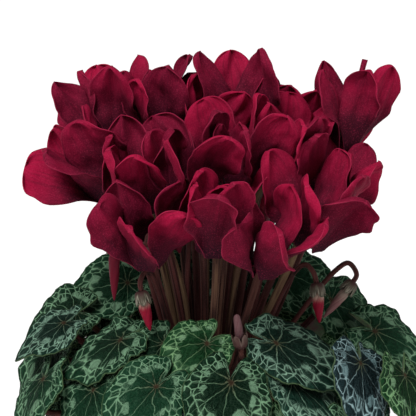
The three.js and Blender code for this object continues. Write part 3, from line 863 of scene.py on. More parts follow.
@dataclass(frozen=True)
class LeafUnderside:
    """A leaf's underside: dull wine and green, with raised main veins."""

    name: str = "leaf_underside"
    veins: int = 9
    wine: Colour = (0.090, 0.028, 0.040)
    green: Colour = (0.066, 0.108, 0.058)
    pale: Colour = (0.150, 0.110, 0.085)

    def make(self) -> bpy.types.Material:
        """Build the material's nodes.

        Returns:
            The material.
        """
        dye = Dye(self.name)
        flat = dye.map("flat")
        x, y, _ = dye.split(flat)
        sector = dye.times(dye.math("ARCTAN2", y, x), self.veins / TURN)
        within = dye.off_whole(sector)
        away = dye.length(x, y)
        vein = dye.rise(dye.times(within, away), 0.035, 0.01)
        colour = dye.mix(dye.rise(dye.clouds(flat, 3.0), 0.34, 0.6), self.wine, self.green)
        colour = dye.mix(dye.times(vein, 0.7), colour, self.pale)
        return dye.surface(colour, dye.relief(vein, 0.0012, 0.6), Roughness=0.6, Specular_IOR_Level=0.08)


@dataclass(frozen=True)
class TuberCork:
    """The corky brown skin of the tuber and its crown, cracked and scarred."""

    name: str = "tuber_cork"
    pale: Colour = (0.2, 0.115, 0.065)
    dark: Colour = (0.045, 0.025, 0.016)

    def make(self) -> bpy.types.Material:
        """Build the material's nodes.

        Returns:
            The material.
        """
        dye = Dye(self.name)
        at = dye.places()
        plates = dye.cells(at, 190.0)
        grain = dye.clouds(at, 420.0, 5.0, 0.65)
        colour = dye.mix(dye.rise(grain, 0.3, 0.7), self.dark, self.pale)
        colour = dye.mix(dye.rise(plates, 0.08, 0.0), colour, tuple(c * 0.4 for c in self.dark))
        height = dye.plus(dye.rise(plates, 0.0, 0.12), dye.times(grain, 0.7))
        return dye.surface(colour, dye.relief(height, 0.0009, 0.9), Roughness=0.9, Specular_IOR_Level=0.2)


@dataclass(frozen=True)
class CompostCrumb:
    """Moist peat: near-black crumbs with brown fibres."""

    name: str = "compost_crumb"
    dark: Colour = (0.012, 0.008, 0.006)
    brown: Colour = (0.075, 0.045, 0.027)

    def make(self) -> bpy.types.Material:
        """Build the material's nodes.

        Returns:
            The material.
        """
        dye = Dye(self.name)
        at = dye.places()
        crumbs = dye.cells(at, 420.0, "F1")
        fibre = dye.clouds(at, 260.0, 6.0, 0.7)
        colour = dye.mix(dye.rise(fibre, 0.35, 0.7), self.dark, self.brown)
        colour = dye.mix(dye.rise(crumbs, 0.55, 0.2), colour, tuple(c * 1.4 for c in self.dark))
        height = dye.minus(dye.times(fibre, 1.2), crumbs)
        return dye.surface(colour, dye.relief(height, 0.0016, 1.0), Roughness=0.95, Specular_IOR_Level=0.15)


@dataclass(frozen=True)
class PotClay:
    """Plain fired clay: fine grain, faint throwing lines and a pale bloom low on the wall."""

    name: str = "pot_clay"
    fired: Colour = (0.36, 0.14, 0.075)
    dusk: Colour = (0.22, 0.075, 0.042)
    bloom: Colour = (0.5, 0.36, 0.28)

    def make(self) -> bpy.types.Material:
        """Build the material's nodes.

        Returns:
            The material.
        """
        dye = Dye(self.name)
        at = dye.places()
        x, y, z = dye.split(at)
        patchy = dye.clouds(at, 22.0, 5.0, 0.6)
        grain = dye.clouds(at, 700.0, 3.0, 0.7)
        flattened = dye.joined(dye.times(x, 4.0), dye.times(y, 4.0), dye.times(z, 420.0))
        lines = dye.clouds(flattened, 1.0, 2.0)
        colour = dye.mix(dye.rise(patchy, 0.35, 0.68), self.dusk, self.fired)
        colour = dye.mix(dye.times(dye.rise(grain, 0.55, 0.8), 0.35), colour, self.dusk)
        chalk = dye.times(dye.rise(z, 0.06, 0.004), dye.rise(dye.clouds(at, 48.0, 5.0, 0.7), 0.42, 0.66))
        colour = dye.mix(dye.times(chalk, 0.55), colour, self.bloom)
        height = dye.plus(dye.times(lines, 0.8), dye.times(grain, 0.5))
        return dye.surface(colour, dye.relief(height, 0.0005, 0.6), Roughness=0.85, Specular_IOR_Level=0.25)


@dataclass(frozen=True)
class StudioPaper:
    """The seamless pale paper that the plant stands on."""

    name: str = "studio_paper"
    white: Colour = (0.93, 0.93, 0.925)

    def make(self) -> bpy.types.Material:
        """Build the material's nodes.

        Returns:
            The material.
        """
        dye = Dye(self.name)
        tooth = dye.clouds(dye.places(), 60.0, 2.0)
        colour = dye.mix(tooth, self.white, tuple(min(1.0, c * 1.02) for c in self.white))
        return dye.surface(colour, Roughness=0.9, Specular_IOR_Level=0.1)


# ---------------------------------------------------------------- pot, compost, tuber
@dataclass
class Pot:
    """A plain round pot with a rim band and five drain holes."""

    height: float = 115
    base: float = 46
    rim: float = 67
    band: float = 18
    step: float = 4.5
    wall: float = 4
    floor: float = 4
    sides: int = 120
    holes: int = 5
    hole: float = 5
    hole_circle: float = 28
    hole_ring: float = 6
    hole_patch: float = 7.2
    lip: float = 1.2

    def inner(self, z: float) -> float:
        """Return the inside radius at a height.

        Args:
            z: Height, in millimetres.

        Returns:
            The radius there, in millimetres.
        """
        low = self.base - self.wall
        high = self.rim - self.step - self.wall / 2
        return low + (high - low) * (z - self.floor) / (self.height - self.floor)

    def build(self) -> bpy.types.Object:
        """Return the pot, turned, its edges softened and its drain holes bridged.

        Returns:
            The piece.
        """
        foot = self.height - self.band
        rim, top, base, lip = self.rim, self.height, self.base, self.lip
        under = rim - 2 * self.step + 2
        ring = [self.hole_circle + out * self.hole_ring for out in (-1, 0, 1)]
        profile = [(r, 0) for r in (0, *ring, base - 1.5)] + [(base, lip)]
        profile += [(base + (under - base) * t, lip + (foot - lip) * t) for t in (0.2, 0.4, 0.6, 0.8)]
        profile += [(under, foot - 0.8), (rim - 3, foot - 0.2), (rim - 2, foot + 1)]
        profile += [(rim - 1, foot + self.band / 2), (rim, top - 3), (rim - 0.6, top - 0.8), (rim - 2, top)]
        profile += [(self.inner(top) + 1.5, top), (self.inner(top), top - lip)]
        profile += [(self.inner(z), z) for z in (90.0, 60.0, 30.0, self.floor + 1.5)]
        profile += [(r, self.floor) for r in (self.inner(self.floor) - 1.5, *reversed(ring), 0)]
        bm = spun(profile, self.sides)
        for k in range(self.holes):
            self.pierce(bm, 360 / self.holes * k + 90)
        bmesh.ops.recalc_face_normals(bm, faces=bm.faces)
        obj = piece_of(bm, "pot_turned", [PotClay().make()], ["pot"])
        LOG.info("pot: %d faces, %d drain holes", len(obj.data.polygons), self.holes)
        return obj

    def pierce(self, bm: bmesh.types.BMesh, bearing: float) -> None:
        """Open one drain hole through the floor.

        Args:
            bm: The pot.
            bearing: Where the hole is, in degrees.
        """
        centre = polar(bearing, self.hole_circle).xy * MM
        rims = []
        for z in (0.0, self.floor):
            level = [f for f in bm.faces if abs(f.calc_center_median().z - z * MM) < 1e-5]
            near = [f for f in level if (f.calc_center_median().xy - centre).length < self.hole_patch * MM]
            inside = set(near)
            rim = [e for f in near for e in f.edges if sum(g in inside for g in e.link_faces) == 1]
            for vert in {v for e in rim for v in e.verts}:
                vert.co.xy = centre + (vert.co.xy - centre).normalized() * self.hole * MM
            bmesh.ops.delete(bm, geom=near, context="FACES")
            rims += [e for e in rim if e.is_valid]
        bmesh.ops.bridge_loops(bm, edges=rims)


@dataclass
class Compost:
    """The compost that fills the pot, lumpy on top and hollowed round the tuber.

    The hollow is given as shares of its radius at depths below the level.
    """

    pot: Pot
    level: float = 103
    gap: float = 0.35
    lump: float = 1.6
    crumb: float = 1.1
    room: float = 0.8
    hollow: tuple[tuple[float, float], ...] = ((0.86, 9), (0.5, 18), (0, 21.5))
    sides: int = 120
    rings: int = 16

    def build(self, tuber: "Tuber") -> bpy.types.Object:
        """Return the compost.

        Args:
            tuber: The tuber that it holds.

        Returns:
            The piece, with a crumbled top.
        """
        edge = self.pot.inner(self.level) - self.gap
        foot = self.pot.inner(self.pot.floor) - self.gap
        inner = tuber.radius + self.room
        profile = [(0, self.pot.floor + self.gap), (foot, self.pot.floor + self.gap), (edge, self.level)]
        profile += [(edge + (inner - edge) * i / self.rings, self.level) for i in range(1, self.rings + 1)]
        profile += [(inner * share, self.level - depth) for share, depth in self.hollow]
        bm = spun(profile, self.sides)
        for vert in bm.verts:
            x, y, z = vert.co / MM
            out = math.hypot(x, y)
            if z > self.level - 1 and out < edge - 0.5:
                bearing = math.atan2(y, x)
                calm = ease(edge, edge * 0.9, out)
                swell = self.lump * math.sin(4 * bearing + x / 9) * math.cos(3 * bearing) * calm
                crumb = self.crumb * noise.fractal(Vector((x, y, 3.0)) / 5, 1.0, 2.0, 4)
                crumb *= ease(edge, edge - 5, out)
                vert.co.z += (swell + crumb) * MM
        obj = piece_of(bm, "compost_bed", [CompostCrumb().make()], ["compost"])
        LOG.info("compost: %d faces", len(obj.data.polygons))
        return obj


@dataclass
class Tuber:
    """The squat corky tuber, half out of the compost, with a flat top that the crown sits on."""

    level: float = 103
    radius: float = 30
    half_height: float = 20
    flat_top: float = 15
    lump: float = 0.035
    roughness: float = 0.014

    def build(self) -> bpy.types.Object:
        """Return the tuber.

        Returns:
            The piece.
        """
        bm = bmesh.new()
        bmesh.ops.create_icosphere(bm, subdivisions=6, radius=1.0)
        for vert in bm.verts:
            unit = vert.co.copy()
            bearing = math.atan2(unit.y, unit.x)
            lump = 1 + self.lump * math.sin(3 * bearing + 1) + self.lump * math.sin(5 * bearing)
            rough = 1 + self.roughness * noise.fractal(unit * 4, 1.0, 2.0, 4)
            z = max(-0.9, min(self.flat_top / self.half_height, unit.z * rough)) * self.half_height
            x, y = (c * self.radius * lump * rough for c in unit.xy)
            vert.co = Vector((x, y, z + self.level)) * MM
        for face in bm.faces:
            face.smooth = True
        obj = piece_of(bm, "tuber_body", [TuberCork().make()], ["tuber"])
        LOG.info("tuber: %d faces", len(obj.data.polygons))
        return obj


@dataclass
class Crown:
    """The knobbly crown on the tuber, which every stalk grows from."""

    base: float = 118.35
    radius: float = 24
    height: float = 9
    sides: int = 72
    knob: float = 0.8

    @property
    def root_height(self) -> float:
        """Return the height that the stalks' own lines start at."""
        return self.base - 0.35 + 0.6 * self.height

    def root(self, bearing: float, radius: float) -> Vector:
        """Return where a stalk starts."""
        return polar(bearing, radius, self.root_height)

    def build(self) -> bpy.types.Object:
        """Return the crown.

        Returns:
            The piece.
        """
        b, r, h = self.base, self.radius, self.height
        profile = [(0, b), (r * 0.5, b), (r - 1.5, b), (r + 0.3, b + 1), (r + 1, b + 0.4 * h)]
        arc = ((0.9, 0.65), (0.72, 0.85), (0.5, 0.93), (0.25, 0.98))
        profile += [(r * x, b + z * h) for x, z in arc] + [(0, b + h)]
        bm = spun(profile, self.sides)
        long = [e for e in bm.edges if e.calc_length() > 3.5 * MM]
        bmesh.ops.subdivide_edges(bm, edges=long, cuts=1, use_grid_fill=True)
        for vert in bm.verts:
            x, y, z = vert.co / MM
            if z > b + 0.5:
                knob = noise.fractal(Vector((x, y, z)) / 4.5, 1.0, 2.0, 3)
                outward = Vector((x, y, 0)).normalized() * (0.5 * knob * MM)
                vert.co += outward + Vector((0, 0, self.knob * knob * MM))
        for face in bm.faces:
            face.smooth = True
        cork = TuberCork("crown_cork", (0.17, 0.075, 0.055)).make()
        obj = piece_of(bm, "crown", [cork], ["stalks"])
        LOG.info("crown: %d faces", len(obj.data.polygons))
        return obj


# ---------------------------------------------------------------- flowers
@dataclass(frozen=True)
class FlowerSite:
    """Where a flower's mouth is, how far and which way its petals lean, and how slim they are."""

    x: float
    y: float
    z: float
    lean: float
    to: float
    slim: float = 0.0

    def strayed(self, number: int, attempt: int) -> "FlowerSite":
        """Return the site of a later attempt, its petals' slimness left out.

        Args:
            number: The flower's place in the list.
            attempt: 0 is the site as given.

        Returns:
            The strayed site.
        """
        draws = Draws(number * 211 + attempt * 17 + 3)
        stray = min(1.0, attempt / FLOWER_TRIES)
        return FlowerSite(
            self.x + draws.spread(16 * stray),
            self.y + draws.spread(16 * stray),
            self.z + draws.spread(10 * stray),
            max(0.0, self.lean + draws.spread(18 * stray)),
            self.to + draws.spread(30 * stray),
        )

    def stand(self) -> Stand:
        """Return the flower's own directions: w is the way that its petals point.

        Returns:
            The mouth's place and directions.
        """
        tilt = self.lean * DEGREE
        w = polar(self.to, math.sin(tilt), math.cos(tilt))
        u = polar(self.to, math.cos(tilt), -math.sin(tilt))
        return Stand(Vector((self.x, self.y, self.z)), u, w.cross(u), w)


@dataclass(frozen=True)
class Petal:
    """One swept-back petal: it leaves the mouth, folds outwards and stands up, twisted.

    Its azimuth, lean, curl, twist and swirl are in degrees. A frill of 0 leaves out all the finer bends.
    """

    azimuth: float
    lean: float
    curl: float
    twist: float
    length: float
    half_width: float
    cup: float
    wave: float
    frill: float = 0.0
    phase: float = 0.0
    fullness: float = 0.0
    breadth: float = 1.0
    crease: float = 0.0
    roll: float = 0.0
    tip: float = 0.0
    lop: float = 0.0
    bow: float = 0.0
    swirl: float = 0.0
    pleat: float = 0.0
    pleat_at: float = 0.0
    claw: float = 3.9
    fold: float = 0.2
    mouth: float = -3.4
    mouth_radius: float = 7.2
    fold_out: float = 2.4
    fold_down: float = 2.2
    fold_up: float = 1.4

    @staticmethod
    def grown(flower: int, k: int, attempt: int) -> "Petal":
        """Return petal k of a flower at one of its attempts.

        Args:
            flower: The flower's place in the list.
            k: Which of its petals.
            attempt: 0 is the petal as meant.

        Returns:
            The petal, without its finer bends.
        """
        draws = Draws(flower * 131 + k * 29 + attempt * 11 + 5)
        stray = min(1.0, attempt / 30)
        return Petal(
            azimuth=180 + 48 + 66 * k + draws.spread(3 + 9 * stray),
            lean=11 + draws.spread(4 + 15 * stray),
            curl=14 + draws.spread(8 + 16 * stray),
            twist=44 + draws.spread(5 + 14 * stray),
            length=51 * (1 - 0.1 * stray + draws.spread(0.06)),
            half_width=14.8 * (1 - 0.12 * stray + draws.spread(0.07)),
            cup=0.1 + draws.spread(0.06),
            wave=draws.spread(1),
        )

    def dressed(self, draws: Draws, slim: float) -> "Petal":
        """Return the petal with its finer bends.

        Args:
            draws: The draws that the bends come from.
            slim: How slim and pointed the flower's petals are, from 0 to 1.

        Returns:
            The petal, in the same place.
        """
        return replace(
            self,
            frill=1.3 + draws.spread(0.7),
            phase=draws.spread(3.1),
            fullness=0.9 + draws.spread(0.4),
            breadth=1.07 - 0.22 * slim + draws.spread(0.13),
            crease=draws.spread(0.2),
            roll=0.1 + draws.spread(0.8),
            tip=-0.7 + 1.1 * slim + draws.spread(0.5) + (1.1 if draws.next() < 0.18 else 0.0),
            lop=draws.spread(5.0),
            bow=2.5 + draws.spread(5.0),
            swirl=draws.spread(44.0),
            pleat=1.8 + draws.spread(1.8),
            pleat_at=draws.spread(0.5),
        )

    def half(self, v: float, t: float) -> float:
        """Return half the petal's width.

        Args:
            v: From 0 at the mouth to 1 at the tip.
            t: The share of the petal above the fold.

        Returns:
            Half the width, in millimetres.
        """
        claw = (self.claw + 1.4 * self.fullness) * min(1.0, v / self.fold)
        rise = math.sin(math.pi / 2 * min(1.0, t / 0.6)) ** (2 - 0.6 * self.fullness)
        fall = max(0.0, t - 0.6) / 0.4
        wide = self.half_width * self.breadth
        end = max(0.0, 1 - fall ** (2.4 - self.tip)) ** (0.6 + 0.25 * self.tip)
        return (claw + (wide - claw) * rise) * end

    def crumpled(self, u: float, v: float, t: float, side: float, bend: float) -> tuple[float, float]:
        """Add the petal's ripples, crease, rolled edges, pleat and fine unevenness.

        Args:
            u: From -1 to 1 across.
            v: From 0 at the mouth, round the fold, to 1 at the tip.
            t: The share of the petal above the fold.
            side: How far the point is from the midrib.
            bend: How far it is off the petal's flat.

        Returns:
            The new side and bend, in millimetres.
        """
        phase = self.phase
        edge = abs(u) ** 2.2
        grown = ease(0.08, 0.45, t) * min(1.0, abs(self.half(v, t)) / self.half_width)
        ripple = math.sin(8.5 * t + phase + 1.3 * u) + 0.5 * math.sin(15 * t * (1 + 0.2 * u) + 2 * phase)
        bend += self.frill * edge * grown * ripple
        bend += 2.6 * math.sin(4.2 * t + 2.1 * u + phase) * grown
        bend += 1.6 * math.sin(6.0 * u + 2 * phase) * ease(0.5, 1.0, t)
        bend += self.crease * ((side**2 + 4) ** 0.5 - 2) * grown
        bend -= self.roll * abs(u) ** 4 * 4.0 * grown
        bend -= self.pleat * math.exp(-(((u - self.pleat_at) / 0.17) ** 2)) * grown * ease(1.0, 0.7, t)
        bend += 2.2 * noise.noise(Vector((2.2 * u + 3 * phase, 4.0 * t, self.azimuth))) * grown
        bend += 0.9 * noise.noise(Vector((5.0 * u, 9.0 * t, self.azimuth + phase))) * grown
        side *= 1 + 0.14 * noise.noise(Vector((7 * t, phase, 2.0 if u > 0 else 9.0))) * grown
        return side + self.lop * t**3, bend

    def point(self, stand: Stand, u: float, v: float) -> Vector:
        """Return a point of the petal.

        Args:
            stand: The flower's own directions.
            u: From -1 to 1 across.
            v: From 0 at the mouth, round the fold, to 1 at the tip.

        Returns:
            The point, in millimetres.
        """
        t = max(0.0, (v - self.fold) / (1 - self.fold))
        turn = math.pi * min(1.0, v / self.fold)
        start = self.lean * DEGREE
        slope = start + self.curl * DEGREE * t
        mean = (start + slope) / 2
        radius = self.mouth_radius - self.fold_out * math.cos(turn) + self.length * t * math.sin(mean)
        height = self.mouth - self.fold_down * math.sin(turn) + self.fold_up * turn / math.pi
        height += self.length * t * math.cos(mean)
        radius += self.bow * t**2
        twist = self.twist * DEGREE * min(1.0, 2.2 * t) + self.swirl * DEGREE * ease(0.2, 1.0, t)
        side = u * self.half(v, t)
        bend = self.cup * u * side + self.wave * u * math.sin(7 * t)
        if self.frill:
            side, bend = self.crumpled(u, v, t, side, bend)
        across = side * math.cos(twist) - bend * math.sin(twist)
        out = side * math.sin(twist) + bend * math.cos(twist)
        tangent = stand.point(1, self.azimuth + 90, 0) - stand.at
        middle = stand.point(radius + out * math.cos(slope), self.azimuth, height - out * math.sin(slope))
        return middle + tangent * across


@dataclass
class Flower:
    """An open flower: a short tube, five petals swept back from its mouth, and the style."""

    number: int
    site: FlowerSite
    thickness: float = 0.55
    tube: float = 5.4
    tube_top: float = 4
    across: int = 22
    along: int = 34
    petals: list[Petal] = field(default_factory=list)

    @property
    def node(self) -> str:
        """Return the name of the flower's CAD node."""
        return f"flower_{self.number + 1:02d}"

    def find(self) -> float:
        """Find the pose and the bends that the CAD node was built with.

        Returns:
            The largest misfit, in millimetres.
        """
        marks = Marks(self.node)
        given = self.site

        def tube_misfit(attempt: int) -> float:
            """Return how badly the tube's corners fit.

            Args:
                attempt: Which of the flower's places.

            Returns:
                The misfit, in millimetres.
            """
            stand = given.strayed(self.number, attempt).stand()
            corners = [stand.point(self.tube, -90 + 60 * i, h) for i in range(6) for h in (3, -4)]
            return sorted(marks.miss(corner) for corner in corners)[3]

        attempt, worst = marks.best(FLOWER_TRIES, tube_misfit)
        self.site = given.strayed(self.number, attempt)
        stand = self.site.stand()
        spots = [(u, v) for u in (-1, 0, 1) for v in (0.5, 0.83)]
        for k in range(5):

            def petal_misfit(bend: int) -> float:
                """Return how badly a petal's corners fit."""
                petal = Petal.grown(self.number, k, bend)
                return sorted(marks.off_middle(petal.point(stand, u, v)) for u, v in spots)[2]

            bend, misfit = marks.best(FLOWER_TRIES, petal_misfit)
            worst = max(worst, misfit)
            draws = Draws(self.number * 57 + k * 13 + SHAPES)
            self.petals.append(Petal.grown(self.number, k, bend).dressed(draws, given.slim))
        return worst

    def build(self, velvet: bpy.types.Material, throat: bpy.types.Material) -> bpy.types.Object:
        """Return the flower.

        Args:
            velvet: The petals' finish.
            throat: The finish of the tube and the style.

        Returns:
            The piece.
        """
        stand = self.site.stand()
        sheets = Sheets()
        for k, petal in enumerate(self.petals):
            tone = Draws(self.number * 17 + k * 5 + 1).next()

            def place(u: float, v: float, petal: Petal = petal) -> Vector:
                """Return a point of this petal, with its rows closer at the round tip."""
                return petal.point(stand, 2 * u - 1, self.row(v))

            sheets.grid(self.across, self.along, place, 0, tone)
        shares = (0.0, 0.2, 0.35, 0.7, 0.78, 0.86, 1.0)
        radii = list(zip(shares, (0.0, 4.6, 5.4, 5.3, 4.4, 3.6, 0.0)))
        heights = list(zip(shares, (4.0, 3.9, 3.0, -3.9, -4.3, -3.6, 1.4)))

        def wall(u: float, v: float) -> Vector:
            """Return a point of the tube, faintly five-sided."""
            r = knot_value(radii, v) * (1 + 0.05 * math.cos(10 * math.pi * u))
            return stand.point(r, 360 * u, knot_value(heights, v))

        sheets.grid(30, 14, wall, 1)
        sheets.rod(lambda s: stand.point(0.3, 0, 2 - 8 * s), lambda s: 0.5 if s < 0.85 else 0.7, 8, 8, 1)
        obj = sheets.piece(f"bloom_{self.number + 1:02d}", [velvet, throat], "petals", [self.node])
        thicken(obj, self.thickness)
        return obj

    @staticmethod
    def row(v: float) -> float:
        """Return where a grid row lies, so that rows draw together at the fold and the tip.

        Args:
            v: The row's even share.

        Returns:
            Its share along the petal.
        """
        if v < 0.55:
            return v / 0.55 * 0.68
        return 0.68 + 0.32 * math.sin(math.pi / 2 * (v - 0.55) / 0.45)


@dataclass
class FlowerStalk:
    """A flower's stalk: up from the crown, over in a hook, and down into the calyx."""

    flower: Flower
    given: FlowerSite
    radius: float = 2.5
    hook_radius: float = 1.9
    offset: float = 9

    def line(self, crown: Crown) -> Callable[[float], Vector]:
        """Return the stalk's middle line.

        Args:
            crown: The crown that it grows from.

        Returns:
            A rule from a share of its length to a point.
        """
        stand = self.flower.site.stand()
        bearing = math.atan2(self.given.y, self.given.x) / DEGREE
        root = crown.root(bearing, 0.2 * math.hypot(self.given.x, self.given.y))
        below = stand.point(self.offset, 180, -22)
        reach = below.z - root.z
        lower = Vector((root.x, root.y, root.z + 0.4 * reach))
        handle = lower.lerp(Vector((below.x, below.y, lower.z)), 0.25)
        ends = (root, handle, below - stand.w * (0.35 * reach), below)
        o = self.offset
        hook = [(o, -4), (o - 0.2, 5), (o - 3.4, 10), (o - 7, 9.4), (0, self.flower.tube_top + 2)]
        points = [bezier(ends, s) for s in (0, 0.5, 1)] + [stand.point(r, 180, h) for r, h in hook]
        return lambda share: through(points, share)

    def add(self, sheets: Sheets, sepals: Sheets, crown: Crown) -> None:
        """Add the stalk and its calyx.

        Args:
            sheets: The mesh of the stalks.
            sepals: The mesh of the calyxes.
            crown: The crown that it grows from.
        """
        line = self.line(crown)
        tone = Draws(self.flower.number * 23 + 7).next()
        thin = self.hook_radius - self.radius
        sheets.rod(line, lambda s: self.radius + thin * s + 0.5 * ease(0.12, 0.0, s), 14, 56, 0, tone)
        Calyx(self.flower.site.stand(), self.flower.tube_top).add(sepals, tone)


@dataclass
class Calyx:
    """Five pointed sepals that lie on the end of a tube or bud."""

    stand: Stand
    top: float
    reach: float = 5.9
    foot: float = 2.0
    drop: float = 5.5
    cap: float = 4.6
    sense: float = 1.0

    def add(self, sheets: Sheets, tone: float) -> None:
        """Add the sepals.

        Args:
            sheets: The mesh of the calyxes.
            tone: A number from 0 to 1 that the finish varies by.
        """

        def place(u: float, v: float) -> Vector:
            """Return a point at u round the cap and v from its foot to its lobes.

            Args:
                u: Share round it.
                v: Share along it.

            Returns:
                The point, in millimetres.
            """
            lobe = abs(math.cos(2.5 * TURN * u)) ** 0.8
            end = 0.55 + 0.45 * lobe
            t = v * end
            r = self.foot + (self.reach - self.foot) * math.sin(math.pi / 2 * min(1.0, t * 1.35))
            fall = self.drop * max(0.0, t - 0.5) * 1.4
            h = self.top + self.sense * (self.cap - self.cap * min(1.0, t * 1.5) ** 2 - fall)
            return self.stand.point(r * (1 + 0.04 * lobe), 360 * u, h)

        sheets.grid(40, 8, place, 0, tone)


# ---------------------------------------------------------------- leaves
@dataclass(frozen=True)
class LeafSite:
    """Where a leaf's stalk meets its blade, and how the blade lies.

    A blade faces its own bearing unless face gives another, and on is the leaf whose CAD node holds it too.
    """

    at: float
    out: float
    z: float
    slope: float
    turn: float
    size: float
    face: Optional[float] = None
    on: Optional[int] = None
    tint: LeafTint = LeafTint.DEEP

    def strayed(self, number: int, attempt: int) -> "LeafSite":
        """Return the site of a later attempt.

        Args:
            number: The leaf's place in the list.
            attempt: 0 is the site as given.

        Returns:
            The strayed site.
        """
        draws = Draws(number * 307 + attempt * 13 + 9)
        stray = min(1.0, attempt / 50)
        at = self.at + draws.spread(9 * stray)
        out = self.out + draws.spread(10 * stray)
        z = self.z + draws.spread(10 * stray)
        face = (self.at if self.face is None else self.face) + draws.spread(12 * stray)
        slope = self.slope + draws.spread(16 * stray)
        turn = self.turn + draws.spread(24 * stray)
        size = self.size * (1 - 0.1 * stray * draws.next())
        return replace(self, at=at, out=out, z=z, face=face, slope=slope, turn=turn, size=size)

    def stand(self) -> Stand:
        """Return the blade's own directions: u runs to its tip and w is its upper side.

        Returns:
            The blade's place and directions.
        """
        face = self.at if self.face is None else self.face
        down = polar(face, math.cos(self.slope * DEGREE), -math.sin(self.slope * DEGREE))
        side = polar(face + 90, 1)
        turn = self.turn * DEGREE
        x = down * math.cos(turn) + side * math.sin(turn)
        z = down.cross(side)
        return Stand(polar(self.at, self.out, self.z), x, z.cross(x), z)


@dataclass
class Leaf:
    """A heart-shaped blade with a toothed margin, and its stalk."""

    number: int
    site: LeafSite
    thickness: float = 0.8
    round_steps: int = 126
    out_steps: int = 13
    teeth: int = 42
    tooth: float = 0.022
    cad_tooth: float = 0.025

    @property
    def node(self) -> str:
        """Return the name of the CAD node that holds the blade."""
        return f"leaf_{(self.number if self.site.on is None else self.site.on) + 1:02d}"

    @property
    def nodes(self) -> list[str]:
        """Return the CAD nodes that the blade stands for."""
        return [self.node]

    @property
    def name(self) -> str:
        """Return the blade's name."""
        return f"blade_{self.number + 1:02d}"

    @staticmethod
    def reach(angle: float) -> float:
        """Return the outline's distance from the stalk at an angle from the tip.

        Args:
            angle: In radians.

        Returns:
            The distance, as a share of the leaf's size.
        """
        heart = 0.68 + 0.24 * math.cos(angle) + 0.08 * math.cos(2 * angle)
        tip = 0.05 * math.exp(-((angle / 0.2) ** 2))
        return heart + tip - 0.5 * math.exp(-(((math.pi - abs(angle)) / 0.24) ** 2))

    def flat(self, u: float, v: float, tooth: float) -> tuple[float, float]:
        """Return a place on the flattened blade, as shares of its size.

        Args:
            u: From -1 to 1, the angle from the tip.
            v: From 0 at the stalk to 1 at the margin.
            tooth: What a tooth adds there.

        Returns:
            Its x and y.
        """
        angle = u * BLADE_TURN
        reach = self.reach(angle) * v * (1 + tooth)
        return reach * math.cos(angle), reach * math.sin(angle)

    def point(self, site: LeafSite, u: float, v: float, tooth: float) -> Vector:
        """Return a point of the blade.

        Args:
            site: Where and how the blade lies.
            u: From -1 to 1, the angle from the tip.
            v: From 0 at the stalk to 1 at the margin.
            tooth: What a tooth adds there, as a share of the reach.

        Returns:
            The point, in millimetres.
        """
        angle = u * BLADE_TURN
        x, y = self.flat(u, v, tooth)
        lift = 0.05 * v**2 * math.sin(4 * angle + self.number) - 0.2 * max(0.0, x) ** 2 - 0.12 * y**2
        stand = site.stand()
        return stand.at + (stand.u * x + stand.v * y + stand.w * lift) * site.size

    def find(self) -> float:
        """Find the pose that the CAD node was built with.

        Returns:
            The misfit, in millimetres.
        """
        marks = Marks(self.node)
        given = self.site
        corners = [2 * i / 18 - 1 for i in range(0, 19, 2)]

        def misfit(attempt: int) -> float:
            """Return how badly the margin's corners fit."""
            site = given.strayed(self.number, attempt)
            return sorted(marks.off_middle(self.point(site, u, 1, self.cad_tooth)) for u in corners)[3]

        attempt, worst = marks.best(LEAF_TRIES, misfit)
        self.site = given.strayed(self.number, attempt)
        return worst

    def build(self, upper: bpy.types.Material, under: bpy.types.Material) -> bpy.types.Object:
        """Return the blade.

        Args:
            upper: The finish of its upper side.
            under: The finish of its underside.

        Returns:
            The piece.
        """
        site = self.site
        stand = site.stand()
        sheets = Sheets()
        draws = Draws(self.number * 43 + 17)
        point = 0.09 + draws.spread(0.04)
        corner = 0.018 + draws.spread(0.008)
        wave = 0.026 + draws.spread(0.012)
        fold = 0.05 + draws.spread(0.1)
        swing = draws.spread(3.1)

        def tooth(u: float, v: float) -> float:
            """Return what the tip, the corners and the fine teeth add to the reach.

            Args:
                u: Share round the margin.
                v: Share from the stalk to the margin.

            Returns:
                What is added, as a share of the reach.
            """
            angle = (2 * u - 1) * BLADE_TURN
            tip = point * math.exp(-((angle / 0.26) ** 2))
            tip -= 0.075 * math.exp(-(((abs(angle) - 0.7) / 0.36) ** 2))
            fine = self.tooth * (abs(math.cos(self.teeth * math.pi * u)) - 0.6)
            return tip * ease(0.2, 1.0, v) + (corner * math.cos(9 * angle) + fine) * ease(0.75, 1.0, v)

        def place(u: float, v: float) -> Vector:
            """Return a point of the blade, folded at its midrib and quilted between its veins.

            Args:
                u: Share round the margin.
                v: Share from the stalk to the margin.

            Returns:
                The point, in millimetres.
            """
            angle = (2 * u - 1) * BLADE_TURN
            quilt = 0.014 * v * (1 - v) * 4 * (abs(math.sin(4.5 * angle)) - 0.5)
            ripple = math.sin(7 * angle + swing) + 0.6 * math.sin(17 * angle + self.number)
            frill = wave * ease(0.45, 1.0, v) * ripple
            crease = fold * v * (abs(math.sin(angle)) - 0.5) * self.reach(angle)
            lift = (quilt + frill + crease) * site.size
            return self.point(site, 2 * u - 1, v, tooth(u, v)) + stand.w * lift

        def flat(u: float, v: float) -> tuple[float, float]:
            """Return the same place on the flattened, toothless blade."""
            return self.flat(2 * u - 1, v, 0.0)

        tone = Draws(self.number * 71 + 3).next()
        sheets.grid(self.round_steps, self.out_steps, place, 0, tone, flat)
        obj = sheets.piece(self.name, [upper, under], "leaves", self.nodes)
        if obj.data.polygons[0].normal.dot(stand.w) < 0:
            obj.data.flip_normals()
        thicken(obj, self.thickness, under=1)
        return obj

